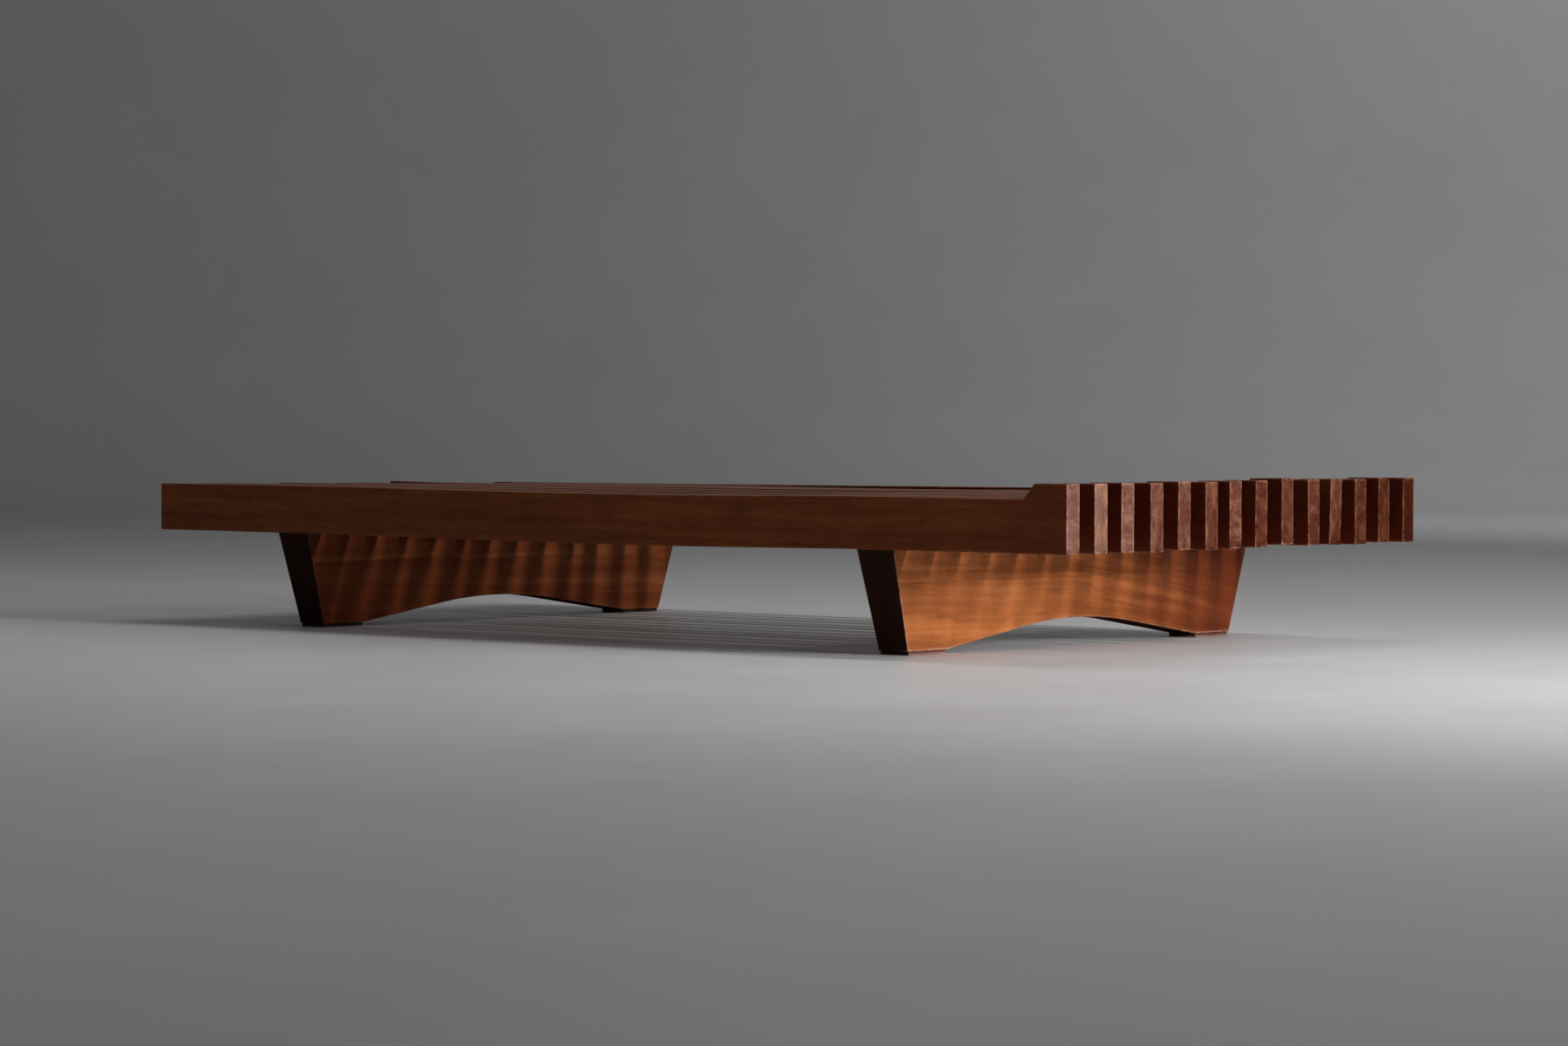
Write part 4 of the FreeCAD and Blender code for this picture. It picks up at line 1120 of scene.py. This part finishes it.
# painted shade: the legs' end faces lean down towards the floor, and their end grain is painted
# nearly black (0.12 of the dark wood colour)
LEG_END = wood(
    "leg_end_grain", **LEG, rough=0.50, coat=0.0, specular=0.08, end_dark_and_shade=0.12,
    spreading=0.30, figure=LEG_FIGURE
)
# painted shade: the curve's underside is painted nearly black as well (0.16 of the dark wood
# colour)
LEG_SAWN = wood(
    "leg_sawn_underside", **LEG, rough=0.74, coat=0.0, specular=0.01, end_dark_and_shade=0.16,
    spreading=0.30, figure=LEG_FIGURE
)
DOWEL_WOOD = dowel_wood()
PAD_LEATHER = pad_leather()


def finish_piece(ob, node, mats):
    for mat in mats:
        ob.data.materials.append(mat)
    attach(ob, "root")
    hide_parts(node)


for number in range(1, 15):
    finish_piece(make_slat(number), "slat_%02d" % number, (SLAT_WOOD, SLAT_END))

seed = 0
for tag, xc in (("head", 0.623), ("foot", -0.646)):
    for kind, arched in (("upper_board", False), ("arch_board", True)):
        seed += 1
        node = "%s_leg_%s" % (tag, kind)
        woods = (LEG_WOOD, LEG_END, LEG_SAWN) if arched else (LEG_WOOD, LEG_END)
        finish_piece(make_leg_board(node, xc, arched, seed), node, woods)
    for side in ("near", "far"):
        node = "%s_leg_pad_%s" % (tag, side)
        finish_piece(make_pad(node, seed + len(side)), node, (PAD_LEATHER,))
    for kind in ("slat_dowels", "joint_dowels"):
        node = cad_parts["%s_leg_%s" % (tag, kind)]
        node.data.materials.clear()
        node.data.materials.append(DOWEL_WOOD)

# ---------------------------------------------------------------------------
# Floor, light and camera
# ---------------------------------------------------------------------------


def make_studio():
    """A pale floor that rises into a plain round backdrop, far outside every view."""
    around = 128
    profile = [(r, 0.0) for r in (0.4, 1.0, 1.8, 2.8, 4.0, 5.5, 7.2, 9.4)]
    for k in range(1, 15):
        a = math.pi / 2 * k / 14
        profile.append((9.4 + 2.6 * math.sin(a), 2.6 - 2.6 * math.cos(a)))
    profile += [(12.0, 3.6), (12.0, 4.8), (12.0, 6.0)]
    co = [(0.0, 0.0, 0.0)]
    for r, z in profile:
        for k in range(around):
            a = 2 * math.pi * k / around
            co.append((r * math.cos(a), r * math.sin(a), z))
    faces = [(0, 1 + k, 1 + (k + 1) % around) for k in range(around)]
    for i in range(len(profile) - 1):
        for k in range(around):
            m = (k + 1) % around
            p, q = 1 + i * around, 1 + (i + 1) * around
            faces.append((p + k, q + k, q + m, p + m))
    me = bpy.data.meshes.new("studio_sweep")
    me.from_pydata(co, [], faces)
    for f in me.polygons:
        f.use_smooth = True
    ob = bpy.data.objects.new("studio_sweep", me)
    bpy.context.scene.collection.objects.link(ob)
    m = Net("pale_sweep")
    tc = m.tree.nodes.new("ShaderNodeTexCoord")
    p = tc.outputs["Object"]
    n = m.noise(p, 1.6, 5.0, 0.6)
    col = m.ramp(m.map(n, 0.3, 0.7, 0, 1), [(0, (0.600, 0.600, 0.600)), (1, (0.635, 0.635, 0.635))])
    m.link(col, m.bsdf.inputs["Base Color"])
    m.link(m.map(m.noise(p, 3.0, 4.0, 0.6), 0.3, 0.7, 0.34, 0.42), m.bsdf.inputs["Roughness"])
    m.bsdf.inputs["Specular IOR Level"].default_value = 0.4
    ob.data.materials.append(m.mat)


def area_light(name, place, aim, size_x, size_y, power, colour=(1, 1, 1), spread=180):
    light = bpy.data.lights.new(name, "AREA")
    light.shape = "RECTANGLE"
    light.size = size_x
    light.size_y = size_y
    light.energy = power
    light.color = colour
    light.spread = math.radians(spread)
    ob = bpy.data.objects.new(name, light)
    ob.location = place
    ob.rotation_mode = "QUATERNION"
    ob.rotation_quaternion = (Vector(aim) - Vector(place)).to_track_quat("-Z", "Y")
    ob.visible_camera = False
    bpy.context.scene.collection.objects.link(ob)
    return ob


def make_world():
    world = bpy.data.worlds.new("studio_world")
    bpy.context.scene.world = world
    world.use_nodes = True
    t = world.node_tree
    t.nodes.clear()
    out = t.nodes.new("ShaderNodeOutputWorld")
    bg = t.nodes.new("ShaderNodeBackground")
    bg.inputs[0].default_value = (0.098, 0.099, 0.101, 1)
    bg.inputs[1].default_value = 1.0
    t.links.new(bg.outputs[0], out.inputs[0])


def make_camera():
    yaw, pitch, roll = math.radians(40.440), math.radians(1.448), math.radians(0.137)
    fwd = Vector(
        (-math.sin(yaw) * math.cos(pitch), math.cos(yaw) * math.cos(pitch), -math.sin(pitch))
    )
    right = Vector((math.cos(yaw), math.sin(yaw), 0))
    up = right.cross(fwd)
    r = right * math.cos(roll) + up * math.sin(roll)
    u = -right * math.sin(roll) + up * math.cos(roll)
    cam = bpy.data.cameras.new("photo_camera")
    cam.sensor_fit = "HORIZONTAL"
    cam.sensor_width = 36.0
    cam.lens = 4993.48 / 1799 * 36.0
    cam.clip_start, cam.clip_end = 0.05, 200.0
    ob = bpy.data.objects.new("photo_camera", cam)
    rot = Matrix((r, u, -fwd)).transposed()
    ob.rotation_mode = "QUATERNION"
    ob.rotation_quaternion = rot.to_quaternion()
    ob.location = (4.75074, -5.52047, 0.36468)
    bpy.context.scene.collection.objects.link(ob)
    bpy.context.scene.camera = ob


make_studio()
make_world()
make_camera()
area_light("tall_strip", (4.2, 0.42, 2.15), (0.0, 0.12, 0.15), 0.26, 1.80, 102)
area_light("side_soft", (4.3, 0.20, 0.88), (0.80, -0.62, 0.12), 1.8, 0.62, 15.0, spread=50)
area_light("backdrop_wash", (-1.0, 6.2, 3.6), (-1.0, 12.0, 1.4), 5.0, 1.2, 95)
area_light("overhead", (0.0, 0.9, 4.6), (0.0, 0.2, 0.0), 3.0, 2.0, 47)

scene = bpy.context.scene
scene.view_settings.view_transform = "Standard"
scene.view_settings.look = "None"
scene.view_settings.exposure = 0.0
scene.view_settings.gamma = 1.0
